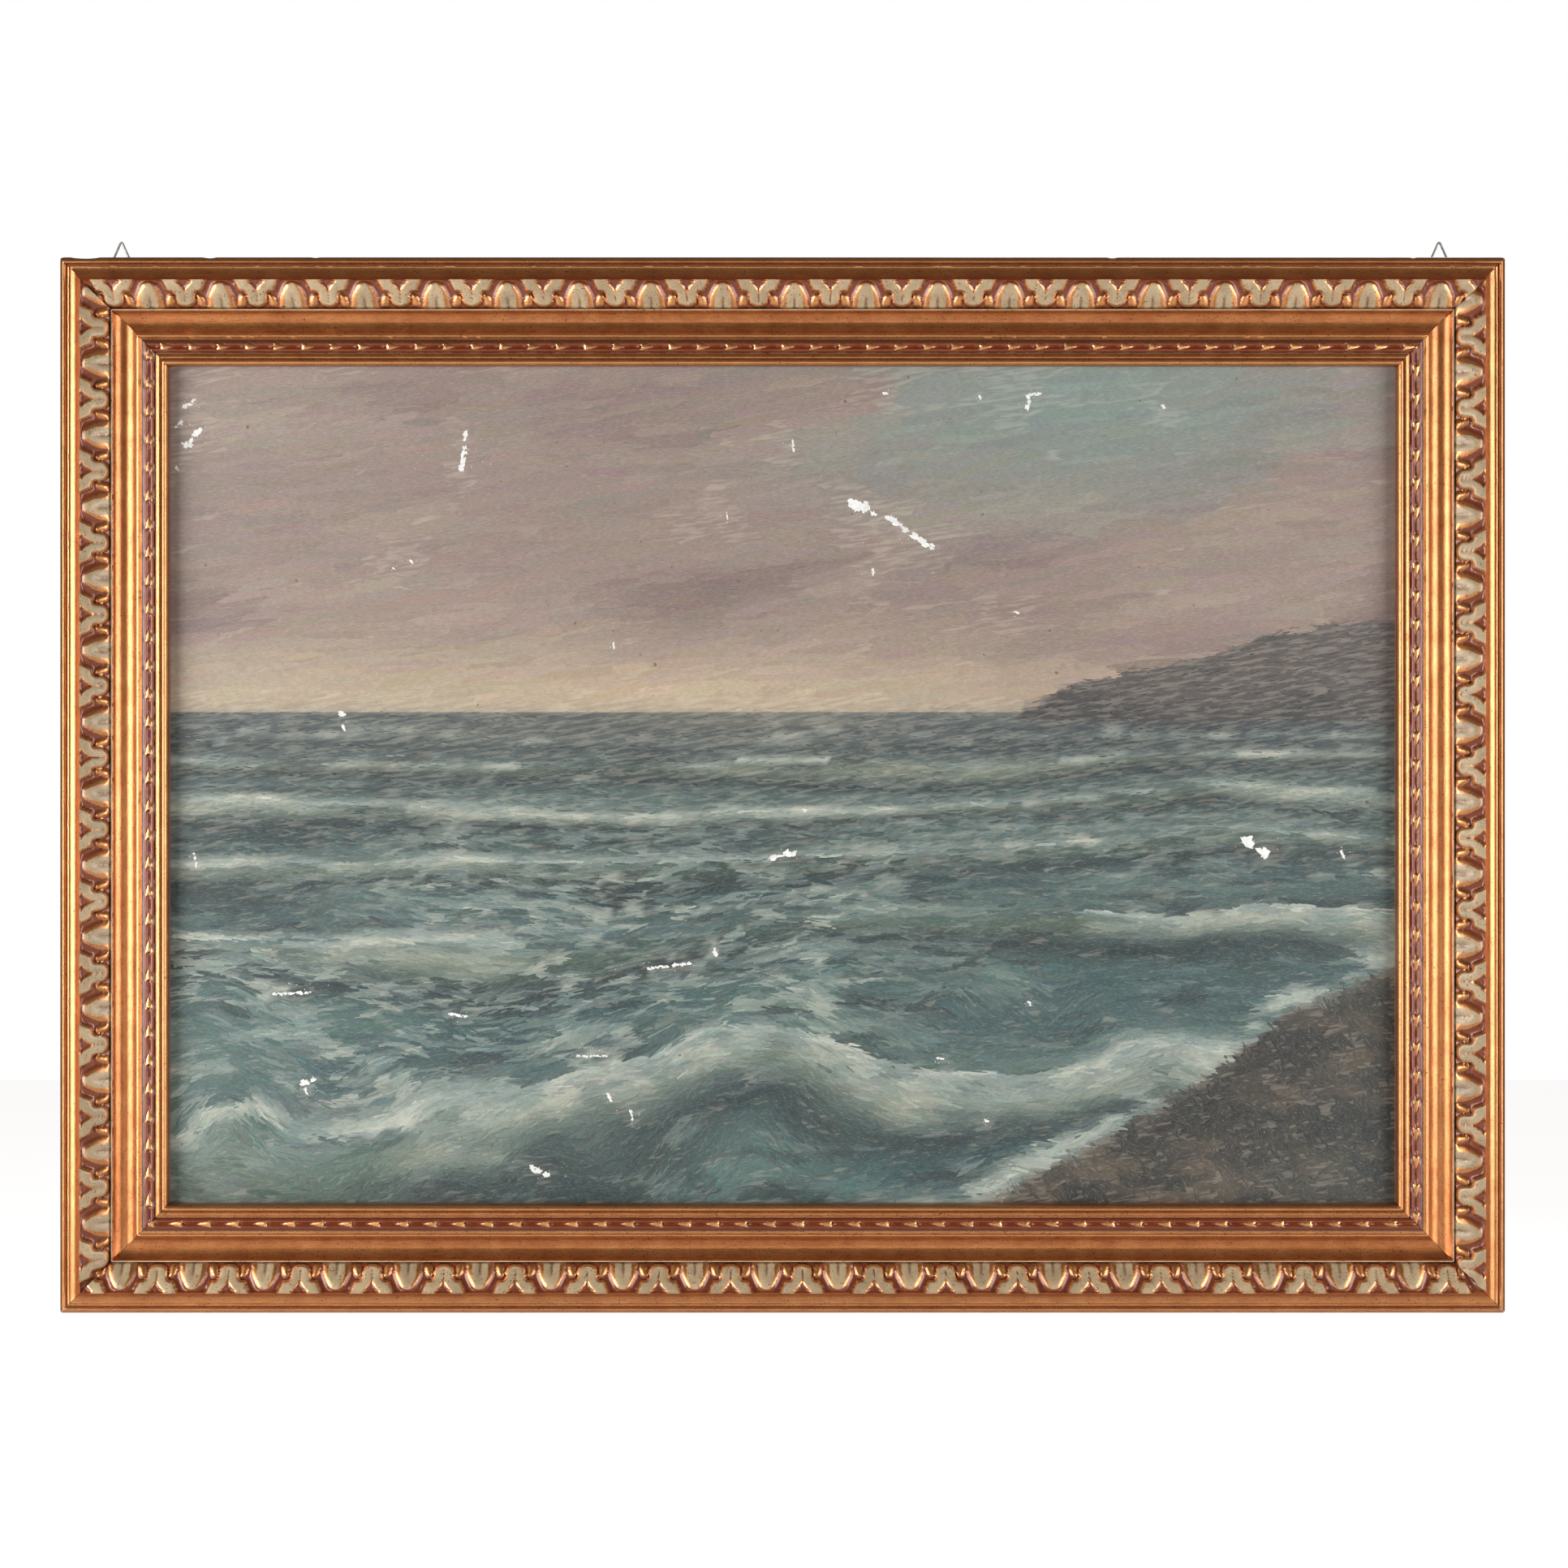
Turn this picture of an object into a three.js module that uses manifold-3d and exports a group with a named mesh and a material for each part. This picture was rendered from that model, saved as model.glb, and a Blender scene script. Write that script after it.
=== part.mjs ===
// A framed oil painting: four mitred lengths of a carved and gilded moulding, a canvas on a
// wooden stretcher held in the rebate by nails, and two ring hangers on the back.
// Millimetres, +Z up. The painting looks towards -Y. The origin is on the flat back of the
// top length of moulding, half way along it, where the frame lies against the wall.

import * as THREE from 'three';
import { mergeVertices } from 'three/addons/utils/BufferGeometryUtils.js';
import Module from 'manifold-3d';

// ---- driving dimensions ----
const canvasWidth = 800;
const canvasHeight = 550;
const sightCover = 6;
const mouldingWidth = 70;
const rebateDepth = 26;
const rebatePlay = 1.5;
const fitGap = 0.3;

const canvasThickness = 1;
const stretcherThickness = 20;
const stretcherWidth = 45;
const stretcherBevel = 3;
const originInset = 32;

const frameWidth = canvasWidth - 2 * sightCover + 2 * mouldingWidth;
const frameHeight = canvasHeight - 2 * sightCover + 2 * mouldingWidth;
const centreZ = originInset - frameHeight / 2;

// ---- the moulding: distance in from the outer edge, height above the back ----
const outerSide = [
  [3, 0],
  [1, 10],
  [0.2, 22],
  [0, 29.5],
];
const outerMembers = [
  [0.5, 31.2],
  [1.5, 31.8],
  [2.2, 33.4],
  [3.2, 34],
  [4.2, 33.2],
  [4.6, 32.2],
  [5.3, 32.2],
  [5.7, 33.6],
  [6.4, 33.8],
  [6.8, 33.4],
  [9.4, 34],
  [11.5, 35.2],
  [13.6, 37.8],
  [15.2, 41],
];
const middleMembers = [
  [34.9, 35],
  [35.4, 33.6],
  [38, 31],
  [42, 29.4],
  [46, 30.2],
  [49.6, 32.6],
  [50.4, 33.4],
  [51, 33.4],
  [51.4, 32.8],
  [54, 33],
];
const sightMembers = [
  [61.7, 32.2],
  [63.2, 32.2],
  [63.7, 33.4],
  [64.8, 33.4],
  [65.6, 32.8],
  [66.4, 35.2],
  [67.8, 36],
  [69.2, 35],
  [mouldingWidth, 33.2],
];
const rebateWall = mouldingWidth - sightCover - rebatePlay;
const rebate = [
  [mouldingWidth, rebateDepth],
  [rebateWall, rebateDepth],
  [rebateWall, 0],
];

// ---- the carved band of tongues and strap leaves ----
const leafRepeat = 45.8;
const leafOuter = 16.2;
const leafInner = 33.2;
const leafOuterHeight = 43.4;
const leafInnerHeight = 35.2;
const leafRows = [leafOuter, 20.4, 25, 29.4, leafInner];
const leafStations = [0, 6, 10.8, 16, 22.9, 29.8, 35, 39.8];
const tongueRadius = 9;
const tongueTop = 0.6;
const tongueTaper = 2;
const tongueHeight = 2.4;
const valleyWidth = 3.7;
const valleyDepth = 1.2;
const strapHeight = 2.6;
const dartHalfWidth = 6.7;
const dartLength = 11;
const dartDepth = 1.4;

// ---- the narrow running band of arrowheads next to the sight edge ----
const arrowRepeat = 18.1;
const arrowOuter = 54.5;
const arrowInner = 61.2;
const arrowBase = 33.1;
const arrowLength = 7.2;
const arrowHeight = 1.5;
const arrowRoot = 0.4;

// where each length's pattern starts, since the mitres cut through it anywhere
const lengths = [
  { name: 'rail_top', turns: 0, leafPhase: 7.6, arrowPhase: -1 },
  { name: 'rail_right', turns: 1, leafPhase: 10.2, arrowPhase: 2 },
  { name: 'rail_bottom', turns: 2, leafPhase: 10.3, arrowPhase: 4 },
  { name: 'rail_left', turns: 3, leafPhase: -4.8, arrowPhase: 1.4 },
];

// ---- hangers and nails ----
const hangerInsets = { left: 32, right: 35 };
const wireRadius = 0.7;
const ringWidth = 14.8;
const ringHeight = 16.5;
const ringCorner = 1.2;
const ringApex = 2;
const ringBarAbove = 1;
const strapWidth = 7.6;
const strapLength = 34;
const strapThickness = 0.5;
const strapClearance = 0.25;
const screwDrop = 22;
const screwRadius = 1.5;
const screwHeadRadius = 3.4;
const screwHeadHeight = 1.8;
const screwLength = 12;
const nailRadius = 0.8;
const nailLength = 24;
const nailInWood = 8;
const nailHeadRadius = 1;
const nailSides = 8;

const wasm = await Module();
wasm.setup();

const mod = (value, period) => ((value % period) + period) % period;
const lerp = THREE.MathUtils.lerp;

function gilded(color) {
  return new THREE.MeshStandardMaterial({ color, roughness: 0.45, metalness: 0.35 });
}

const finishes = {
  moulding: gilded(0xa8744a),
  paint: new THREE.MeshStandardMaterial({ color: 0x8c8f86, roughness: 0.55, metalness: 0 }),
  pine: new THREE.MeshStandardMaterial({ color: 0xb48a5c, roughness: 0.8, metalness: 0 }),
  steel: new THREE.MeshStandardMaterial({ color: 0x5d544a, roughness: 0.5, metalness: 0.8 }),
};

function named(name, geometry, material) {
  const mesh = new THREE.Mesh(geometry, material);
  mesh.name = name;
  return mesh;
}

function toSolid(geometry) {
  const bare = geometry.clone();
  bare.deleteAttribute('normal');
  bare.deleteAttribute('uv');
  const merged = mergeVertices(bare, 1e-4);
  return new wasm.Manifold(new wasm.Mesh({
    numProp: 3,
    vertProperties: new Float32Array(merged.attributes.position.array),
    triVerts: new Uint32Array(merged.index.array),
  }));
}

function fromSolid(solid) {
  const mesh = solid.getMesh();
  const geometry = new THREE.BufferGeometry();
  geometry.setAttribute('position', new THREE.BufferAttribute(mesh.vertProperties, 3));
  geometry.setIndex(new THREE.BufferAttribute(mesh.triVerts, 1));
  geometry.computeVertexNormals();
  return geometry;
}

// Height of the carving over the band's slope, s along from a tongue's middle, d in from the edge.
function leafRelief(s, d) {
  const q = d - leafOuter;
  const archDepth = tongueTop + tongueRadius;
  const inArch = Math.max(0, archDepth - q);
  const taper = tongueTaper * Math.max(0, q - archDepth) / (leafInner - leafOuter - archDepth);
  const halfTongue = Math.sqrt(Math.max(0, tongueRadius ** 2 - inArch ** 2)) - taper;
  if (halfTongue > 0 && Math.abs(s) < halfTongue) {
    return tongueHeight * Math.sqrt(1 - (s / halfTongue) ** 2);
  }
  if (Math.abs(s) < halfTongue + valleyWidth) {
    return -valleyDepth;
  }
  const fromStrap = leafRepeat / 2 - Math.abs(s);
  const dartHalf = dartHalfWidth * (1 - q / dartLength);
  if (fromStrap < dartHalf) {
    return -dartDepth;
  }
  return strapHeight * (1 - 0.35 * q / (leafInner - leafOuter));
}

function leafHeight(u, d, phase) {
  const s = mod(u - phase + leafRepeat / 2, leafRepeat) - leafRepeat / 2;
  const across = (d - leafOuter) / (leafInner - leafOuter);
  const slope = lerp(leafOuterHeight, leafInnerHeight, across ** 1.2);
  return slope + leafRelief(s, d);
}

// The arrowhead swells towards its base, which is at the start of each repeat.
function arrowRelief(u, phase) {
  const s = mod(u - phase, arrowRepeat);
  if (s < arrowLength) {
    return lerp(arrowHeight, arrowRoot, s / arrowLength);
  }
  return lerp(arrowRoot, arrowHeight, (s - arrowLength) / (arrowRepeat - arrowLength));
}

// One row of vertices along a length, cut at the mitre planes at both ends.
function plainRow([d, h], halfLength, extra = []) {
  const end = halfLength - d - fitGap / 2;
  return [-end, ...extra, end].map((u) => ({ u, d, h }));
}

function patternRow(d, halfLength, repeat, phase, stations, height) {
  const end = halfLength - d - fitGap / 2;
  const clear = repeat * 0.04;
  const row = [{ u: -end, d, h: height(-end, d) }];
  const first = Math.floor((-end - phase) / repeat) - 1;
  const last = Math.ceil((end - phase) / repeat) + 1;
  for (let i = first; i <= last; i += 1) {
    for (const station of stations) {
      const u = phase + i * repeat + station;
      if (Math.abs(u) < end - clear) {
        row.push({ u, d, h: height(u, d) });
      }
    }
  }
  row.push({ u: end, d, h: height(end, d) });
  return row;
}

// A closed bar from rows that run round its section, with a flat mitred end at each side.
function mitredBar(rows) {
  const positions = [];
  const starts = [];
  for (const row of rows) {
    starts.push(positions.length / 3);
    for (const { u, d, h } of row) {
      positions.push(u, -h, -d);
    }
  }
  const index = [];
  rows.forEach((row, r) => {
    const next = (r + 1) % rows.length;
    const other = rows[next];
    let i = 0;
    let j = 0;
    while (i < row.length - 1 || j < other.length - 1) {
      const stepRow = j === other.length - 1
        || (i < row.length - 1 && row[i + 1].u <= other[j + 1].u);
      if (stepRow) {
        index.push(starts[r] + i, starts[next] + j, starts[r] + i + 1);
        i += 1;
      } else {
        index.push(starts[r] + i, starts[next] + j, starts[next] + j + 1);
        j += 1;
      }
    }
  });
  const outline = rows.map((row) => new THREE.Vector2(row[0].d, row[0].h));
  for (const [a, b, c] of THREE.ShapeUtils.triangulateShape(outline, [])) {
    index.push(starts[a], starts[b], starts[c]);
  }
  const outlineEnd = rows.map((row) => new THREE.Vector2(row.at(-1).d, row.at(-1).h));
  const lastOf = (r) => starts[r] + rows[r].length - 1;
  for (const [a, b, c] of THREE.ShapeUtils.triangulateShape(outlineEnd, [])) {
    index.push(lastOf(a), lastOf(c), lastOf(b));
  }
  const geometry = new THREE.BufferGeometry();
  geometry.setAttribute('position', new THREE.Float32BufferAttribute(positions, 3));
  geometry.setIndex(index);
  geometry.computeVertexNormals();
  return geometry;
}

// ---- the four lengths of moulding ----
function halfLengthOf(turns) {
  return (turns % 2 ? frameHeight : frameWidth) / 2;
}

function mouldingGeometry({ turns, leafPhase, arrowPhase }) {
  const half = halfLengthOf(turns);
  const plain = (points) => points.map((point) => plainRow(point, half));
  const backCuts = [-originInset / 2, originInset / 2];
  const leaves = leafRows.map((d) => patternRow(
    d, half, leafRepeat, leafPhase, leafStations, (u, at) => leafHeight(u, at, leafPhase),
  ));
  const arrowMiddle = (arrowOuter + arrowInner) / 2;
  const arrows = patternRow(
    arrowMiddle, half, arrowRepeat, arrowPhase, [0, arrowLength, (arrowLength + arrowRepeat) / 2],
    (u) => arrowBase + arrowRelief(u, arrowPhase),
  );
  return mitredBar([
    plainRow(outerSide[0], half, backCuts),
    ...plain(outerSide.slice(1)),
    ...plain(outerMembers),
    ...leaves,
    ...plain(middleMembers),
    ...plain([[arrowOuter, arrowBase]]),
    arrows,
    ...plain([[arrowInner, arrowBase]]),
    ...plain(sightMembers),
    ...plain(rebate.slice(0, 2)),
    plainRow(rebate[2], half, backCuts),
  ]);
}

// ---- small round pieces, made along +Z ----
function turned(profile, sides) {
  const geometry = new THREE.LatheGeometry(profile.map(([r, z]) => new THREE.Vector2(r, z)), sides);
  geometry.rotateX(Math.PI / 2);
  return geometry;
}

function rod(radius, length, sides) {
  return turned([[0, 0], [radius, 0], [radius, length], [0, length]], sides);
}

// ---- where the nails go: one or two for each length, from the rebate wall inwards ----
const nailHeight = rebateDepth - fitGap - canvasThickness - fitGap - stretcherThickness
  - fitGap - nailRadius;
const nailPlaces = [
  { turns: 0, along: -canvasWidth / 4 },
  { turns: 0, along: canvasWidth / 4 },
  { turns: 1, along: 0 },
  { turns: 2, along: -canvasWidth / 4 },
  { turns: 2, along: canvasWidth / 4 },
  { turns: 3, along: 0 },
];

function hangerX(side) {
  return side === 'left' ? hangerInsets.left - frameWidth / 2 : frameWidth / 2 - hangerInsets.right;
}

// Holes in a length for its nails, and in the top one for the hangers' screws.
function boredMoulding(length) {
  let solid = toSolid(mouldingGeometry(length));
  const bore = (geometry) => {
    solid = solid.subtract(toSolid(geometry));
  };
  for (const { turns, along } of nailPlaces.filter((place) => place.turns === length.turns)) {
    const hole = rod(nailRadius + fitGap, nailInWood + 2, nailSides);
    hole.translate(along, -nailHeight, -rebateWall - 1);
    bore(hole);
  }
  if (length.turns === 0) {
    for (const side of ['left', 'right']) {
      const hole = rod(screwRadius + fitGap, screwLength + 2, nailSides);
      hole.rotateX(Math.PI / 2);
      hole.translate(hangerX(side), 1, -screwDrop);
      bore(hole);
    }
  }
  return fromSolid(solid);
}

function frameRails() {
  const group = new THREE.Group();
  group.position.z = centreZ;
  for (const length of lengths) {
    const rail = named(length.name, boredMoulding(length), finishes.moulding);
    const angle = length.turns * Math.PI / 2;
    const reach = halfLengthOf(length.turns + 1);
    rail.rotation.y = angle;
    rail.position.set(Math.sin(angle) * reach, 0, Math.cos(angle) * reach);
    group.add(rail);
  }
  return group;
}

// ---- the canvas: its painted face and its edges turned back over the stretcher ----
const canvasFront = rebateDepth - fitGap;
const stretcherFront = canvasFront - canvasThickness - fitGap;
const stretcherBack = stretcherFront - stretcherThickness;

function canvasPiece() {
  const depth = canvasFront - stretcherBack;
  const outer = new THREE.BoxGeometry(canvasWidth, depth, canvasHeight);
  const inner = new THREE.BoxGeometry(
    canvasWidth - 2 * canvasThickness, depth, canvasHeight - 2 * canvasThickness,
  );
  inner.translate(0, canvasThickness, 0);
  const tray = fromSolid(toSolid(outer).subtract(toSolid(inner)));
  tray.translate(0, -stretcherBack - depth / 2, 0);
  const canvas = named('canvas', tray, finishes.paint);
  canvas.position.z = centreZ;
  return canvas;
}

// ---- the stretcher: four mitred bars, bevelled so that only their outer edge bears ----
function stretcherBars() {
  const group = new THREE.Group();
  group.position.z = centreZ;
  const inset = canvasThickness + fitGap;
  const section = [
    [0, stretcherBack],
    [0, stretcherFront - 1],
    [1, stretcherFront],
    [4, stretcherFront],
    [stretcherWidth, stretcherFront - stretcherBevel],
    [stretcherWidth, stretcherBack],
  ];
  ['top', 'right', 'bottom', 'left'].forEach((side, turns) => {
    const half = (turns % 2 ? canvasHeight : canvasWidth) / 2 - inset;
    const reach = (turns % 2 ? canvasWidth : canvasHeight) / 2 - inset;
    const rows = section.map((point) => plainRow(point, half));
    const bar = named(`stretcher_${side}`, mitredBar(rows), finishes.pine);
    const angle = turns * Math.PI / 2;
    bar.rotation.y = angle;
    bar.position.set(Math.sin(angle) * reach, 0, Math.cos(angle) * reach);
    group.add(bar);
  });
  return group;
}

// ---- nails driven level into the rebate wall, lying behind the stretcher ----
function canvasNails() {
  const group = new THREE.Group();
  group.position.z = centreZ;
  nailPlaces.forEach(({ turns, along }, i) => {
    const shape = turned([
      [0, 0],
      [nailHeadRadius, 0],
      [nailHeadRadius, 0.5],
      [nailRadius, 0.8],
      [nailRadius, nailLength - 2],
      [0, nailLength],
    ], nailSides);
    shape.translate(along, -nailHeight, nailInWood - nailLength - rebateWall - fitGap);
    const nail = named(`canvas_nail_${i + 1}`, shape, finishes.steel);
    const angle = turns * Math.PI / 2;
    const reach = halfLengthOf(turns + 1);
    nail.rotation.y = angle;
    nail.position.set(Math.sin(angle) * reach, 0, Math.cos(angle) * reach);
    group.add(nail);
  });
  return group;
}

// ---- a hanger: a strap folded round the ring's straight bar, and its screw ----
const loopRadius = wireRadius + strapClearance + strapThickness;

function strapGeometry() {
  const centreY = fitGap + loopRadius;
  const shape = new THREE.Shape();
  const bottom = ringBarAbove - strapLength;
  const foldEnd = bottom * 0.35;
  shape.moveTo(fitGap, bottom);
  shape.lineTo(fitGap + strapThickness, bottom);
  shape.lineTo(fitGap + strapThickness, foldEnd);
  shape.lineTo(fitGap + 2 * strapThickness, foldEnd);
  shape.lineTo(fitGap + 2 * strapThickness, ringBarAbove - 2 * loopRadius);
  shape.lineTo(centreY + loopRadius, ringBarAbove - loopRadius * 0.5);
  shape.absarc(centreY, ringBarAbove, loopRadius, -0.4, Math.PI, false);
  shape.lineTo(fitGap, bottom);
  const hole = new THREE.Path();
  hole.absarc(centreY, ringBarAbove, loopRadius - strapThickness, 0, 2 * Math.PI, true);
  shape.holes.push(hole);
  const geometry = new THREE.ExtrudeGeometry(shape, {
    depth: strapWidth,
    bevelEnabled: false,
    curveSegments: 5,
  });
  geometry.translate(0, 0, -strapWidth / 2);
  const turn = new THREE.Matrix4().makeBasis(
    new THREE.Vector3(0, 1, 0), new THREE.Vector3(0, 0, 1), new THREE.Vector3(1, 0, 0),
  );
  geometry.applyMatrix4(turn);
  return geometry;
}

// The wire's centre line: a triangle with round corners on a straight bar.
function ringPoints() {
  const half = ringWidth / 2 - wireRadius;
  const top = ringHeight - wireRadius;
  const corners = [
    { at: new THREE.Vector2(-half, 0), radius: ringCorner },
    { at: new THREE.Vector2(half, 0), radius: ringCorner },
    { at: new THREE.Vector2(0, top), radius: ringApex },
  ];
  const points = [];
  corners.forEach(({ at, radius }, i) => {
    const before = corners[(i + 2) % 3].at.clone().sub(at).normalize();
    const after = corners[(i + 1) % 3].at.clone().sub(at).normalize();
    const halfAngle = Math.acos(before.dot(after)) / 2;
    const middle = before.clone().add(after).normalize().multiplyScalar(radius / Math.sin(halfAngle));
    const centre = at.clone().add(middle);
    const startAngle = before.clone().multiplyScalar(radius / Math.tan(halfAngle)).sub(middle).angle();
    const sweep = Math.PI - 2 * halfAngle;
    for (let k = 0; k <= 4; k += 1) {
      const angle = startAngle + sweep * k / 4;
      points.push(new THREE.Vector3(
        centre.x + radius * Math.cos(angle), 0, centre.y + radius * Math.sin(angle),
      ));
    }
  });
  return points;
}

// A closed tube through the points, mitred at each one.
function wireLoop(points, radius, sides) {
  const positions = [];
  const index = [];
  const up = new THREE.Vector3(0, 1, 0);
  points.forEach((point, i) => {
    const before = points.at(i - 1);
    const after = points[(i + 1) % points.length];
    const into = point.clone().sub(before).normalize();
    const out = after.clone().sub(point).normalize();
    const along = into.clone().add(out).normalize();
    const side = along.clone().cross(up);
    const widen = 1 / along.dot(into);
    for (let k = 0; k < sides; k += 1) {
      const angle = 2 * Math.PI * k / sides;
      const v = side.clone().multiplyScalar(radius * widen * Math.cos(angle))
        .addScaledVector(up, radius * Math.sin(angle))
        .add(point);
      positions.push(v.x, v.y, v.z);
      const a = i * sides + k;
      const b = i * sides + (k + 1) % sides;
      const c = ((i + 1) % points.length) * sides + k;
      const d = ((i + 1) % points.length) * sides + (k + 1) % sides;
      index.push(a, c, b, b, c, d);
    }
  });
  const geometry = new THREE.BufferGeometry();
  geometry.setAttribute('position', new THREE.Float32BufferAttribute(positions, 3));
  geometry.setIndex(index);
  geometry.computeVertexNormals();
  return geometry;
}

function screwGeometry() {
  const seat = strapThickness + 2 * fitGap;
  const geometry = turned([
    [0, -screwLength],
    [screwRadius, 2 - screwLength],
    [screwRadius, seat],
    [screwHeadRadius, seat],
    [screwHeadRadius * 0.8, seat + screwHeadHeight * 0.7],
    [0, seat + screwHeadHeight],
  ], nailSides);
  geometry.rotateX(-Math.PI / 2);
  return geometry;
}

function hanger(side) {
  const group = new THREE.Group();
  group.position.set(hangerX(side), 0, originInset);
  const hole = rod(screwRadius + fitGap, 6, nailSides);
  hole.rotateX(Math.PI / 2);
  hole.translate(0, 3, -screwDrop);
  const strap = fromSolid(toSolid(strapGeometry()).subtract(toSolid(hole)));
  group.add(named(`hanger_strap_${side}`, strap, finishes.steel));
  const ring = named(`hanger_ring_${side}`, wireLoop(ringPoints(), wireRadius, 6), finishes.steel);
  ring.position.set(0, fitGap + loopRadius, ringBarAbove);
  group.add(ring);
  const screw = named(`hanger_screw_${side}`, screwGeometry(), finishes.steel);
  screw.position.z = -screwDrop;
  group.add(screw);
  return group;
}

const painting = new THREE.Group();
painting.add(frameRails());
painting.add(canvasPiece());
painting.add(stretcherBars());
painting.add(canvasNails());
painting.add(hanger('left'));
painting.add(hanger('right'));

export default painting;
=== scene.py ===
import math

import bmesh
import bpy
import numpy as np
from mathutils import Matrix, Vector


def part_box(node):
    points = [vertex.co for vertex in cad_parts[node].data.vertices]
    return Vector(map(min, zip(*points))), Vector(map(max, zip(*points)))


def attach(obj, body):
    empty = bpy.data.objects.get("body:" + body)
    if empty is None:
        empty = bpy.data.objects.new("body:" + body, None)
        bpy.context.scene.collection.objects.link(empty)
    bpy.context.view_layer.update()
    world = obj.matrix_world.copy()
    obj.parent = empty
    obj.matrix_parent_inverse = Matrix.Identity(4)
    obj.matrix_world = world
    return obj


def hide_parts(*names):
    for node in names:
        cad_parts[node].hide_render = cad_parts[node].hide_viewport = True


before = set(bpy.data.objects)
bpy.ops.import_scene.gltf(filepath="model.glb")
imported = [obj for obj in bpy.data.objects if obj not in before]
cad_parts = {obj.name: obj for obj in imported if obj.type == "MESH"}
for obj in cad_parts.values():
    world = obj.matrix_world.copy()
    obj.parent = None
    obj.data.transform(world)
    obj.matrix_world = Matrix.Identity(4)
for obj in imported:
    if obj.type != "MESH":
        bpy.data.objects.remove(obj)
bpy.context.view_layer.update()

mm = 0.001

# places that everything is built from, all read from the frame
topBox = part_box("rail_top")
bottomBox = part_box("rail_bottom")
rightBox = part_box("rail_right")
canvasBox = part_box("canvas")
outerTop = topBox[1][2]
outerBottom = bottomBox[0][2]
centreZ = (outerTop + outerBottom) / 2
halfHigh = (outerTop - outerBottom) / 2
halfWide = rightBox[1][0]


def wire(tree, value, socket):  # links a socket, or sets a plain value
    if isinstance(value, bpy.types.NodeSocket):
        tree.links.new(value, socket)
    else:
        socket.default_value = value


def put(tree, kind, inputs=None, **settings):
    node = tree.nodes.new(kind)
    for key, value in settings.items():
        setattr(node, key, value)
    for key, value in (inputs or {}).items():
        wire(tree, value, node.inputs[key])
    return node


def maths(tree, operation, a, b=0.0, c=0.0, clamp=False):
    kind = "ShaderNodeMath"
    node = put(tree, kind, {0: a, 1: b, 2: c}, operation=operation, use_clamp=clamp)
    return node.outputs[0]


def vectors(tree, operation, a, b=(0, 0, 0)):
    return put(tree, "ShaderNodeVectorMath", {0: a, 1: b}, operation=operation).outputs[0]


def remap(tree, value, low, high, newLow=0.0, newHigh=1.0):
    inputs = {0: value, 1: low, 2: high, 3: newLow, 4: newHigh}
    node = put(tree, "ShaderNodeMapRange", inputs, interpolation_type="SMOOTHSTEP")
    return node.outputs[0]


def blend(tree, factor, a, b, how="MIX"):
    inputs = {0: factor, 6: a, 7: b}
    return put(tree, "ShaderNodeMix", inputs, data_type="RGBA", blend_type=how).outputs[2]


def noise(tree, where, scale, detail=3.0, rough=0.55, twist=0.0):
    inputs = {"Vector": where, "Scale": scale, "Detail": detail, "Roughness": rough, "Distortion": twist}
    return put(tree, "ShaderNodeTexNoise", inputs).outputs[0]


def attribute(tree, name):
    return put(tree, "ShaderNodeAttribute", attribute_name=name)


def toLinear(color):  # a mixed paint colour, given as a screen colour
    c = np.asarray(color, float)
    return np.where(c <= 0.04045, c / 12.92, ((c + 0.055) / 1.055) ** 2.4)


def rgb(r, g, b):
    return (*toLinear((r / 255, g / 255, b / 255)), 1.0)


def newMaterial(name):
    material = bpy.data.materials.new(name)
    material.use_nodes = True
    tree = material.node_tree
    tree.nodes.clear()
    shader = put(tree, "ShaderNodeBsdfPrincipled")
    output = put(tree, "ShaderNodeOutputMaterial", {"Surface": shader.outputs[0]})
    output.location = (400, 0)
    return material, tree, shader


def meshObject(name, vertices, faces, edges=()):
    mesh = bpy.data.meshes.new(name)
    mesh.from_pydata([tuple(v) for v in vertices], list(edges), faces)
    mesh.validate()
    piece = bpy.data.objects.new(name, mesh)
    bpy.context.scene.collection.objects.link(piece)
    return piece


def setAttribute(mesh, name, kind, values):
    layer = mesh.attributes.new(name, kind, "POINT")
    field = {"FLOAT": "value", "FLOAT_VECTOR": "vector", "FLOAT_COLOR": "color"}[kind]
    layer.data.foreach_set(field, np.asarray(values, np.float32).ravel())


def newGeometryTree(name, sockets):
    tree = bpy.data.node_groups.new(name, "GeometryNodeTree")
    for label, kind in sockets:
        tree.interface.new_socket(label, in_out="INPUT", socket_type=kind)
    tree.interface.new_socket("Geometry", in_out="OUTPUT", socket_type="NodeSocketGeometry")
    source = put(tree, "NodeGroupInput")
    return tree, source.outputs


def grow(name, tree, values):  # runs a tree and keeps its result as a plain mesh
    seed = meshObject(name + "Seed", [(0, 0, 0)], [])
    modifier = seed.modifiers.new("grow", "NODES")
    modifier.node_group = tree
    names = {item.name: item.identifier for item in tree.interface.items_tree}
    for label, value in values.items():
        modifier[names[label]] = value
    bpy.context.view_layer.update()
    evaluated = seed.evaluated_get(bpy.context.evaluated_depsgraph_get())
    mesh = bpy.data.meshes.new_from_object(evaluated)
    mesh.name = name
    bpy.data.objects.remove(seed)
    piece = bpy.data.objects.new(name, mesh)
    bpy.context.scene.collection.objects.link(piece)
    return piece


def closeAndFace(piece):  # faces outwards, whatever way the tree left them
    work = bmesh.new()
    work.from_mesh(piece.data)
    if work.calc_volume(signed=True) < 0:
        bmesh.ops.reverse_faces(work, faces=work.faces)
    work.to_mesh(piece.data)
    work.free()


def smooth(piece, angle=35):
    piece.data.shade_smooth()
    if angle:
        piece.data.set_sharp_from_angle(angle=math.radians(angle))


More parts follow.
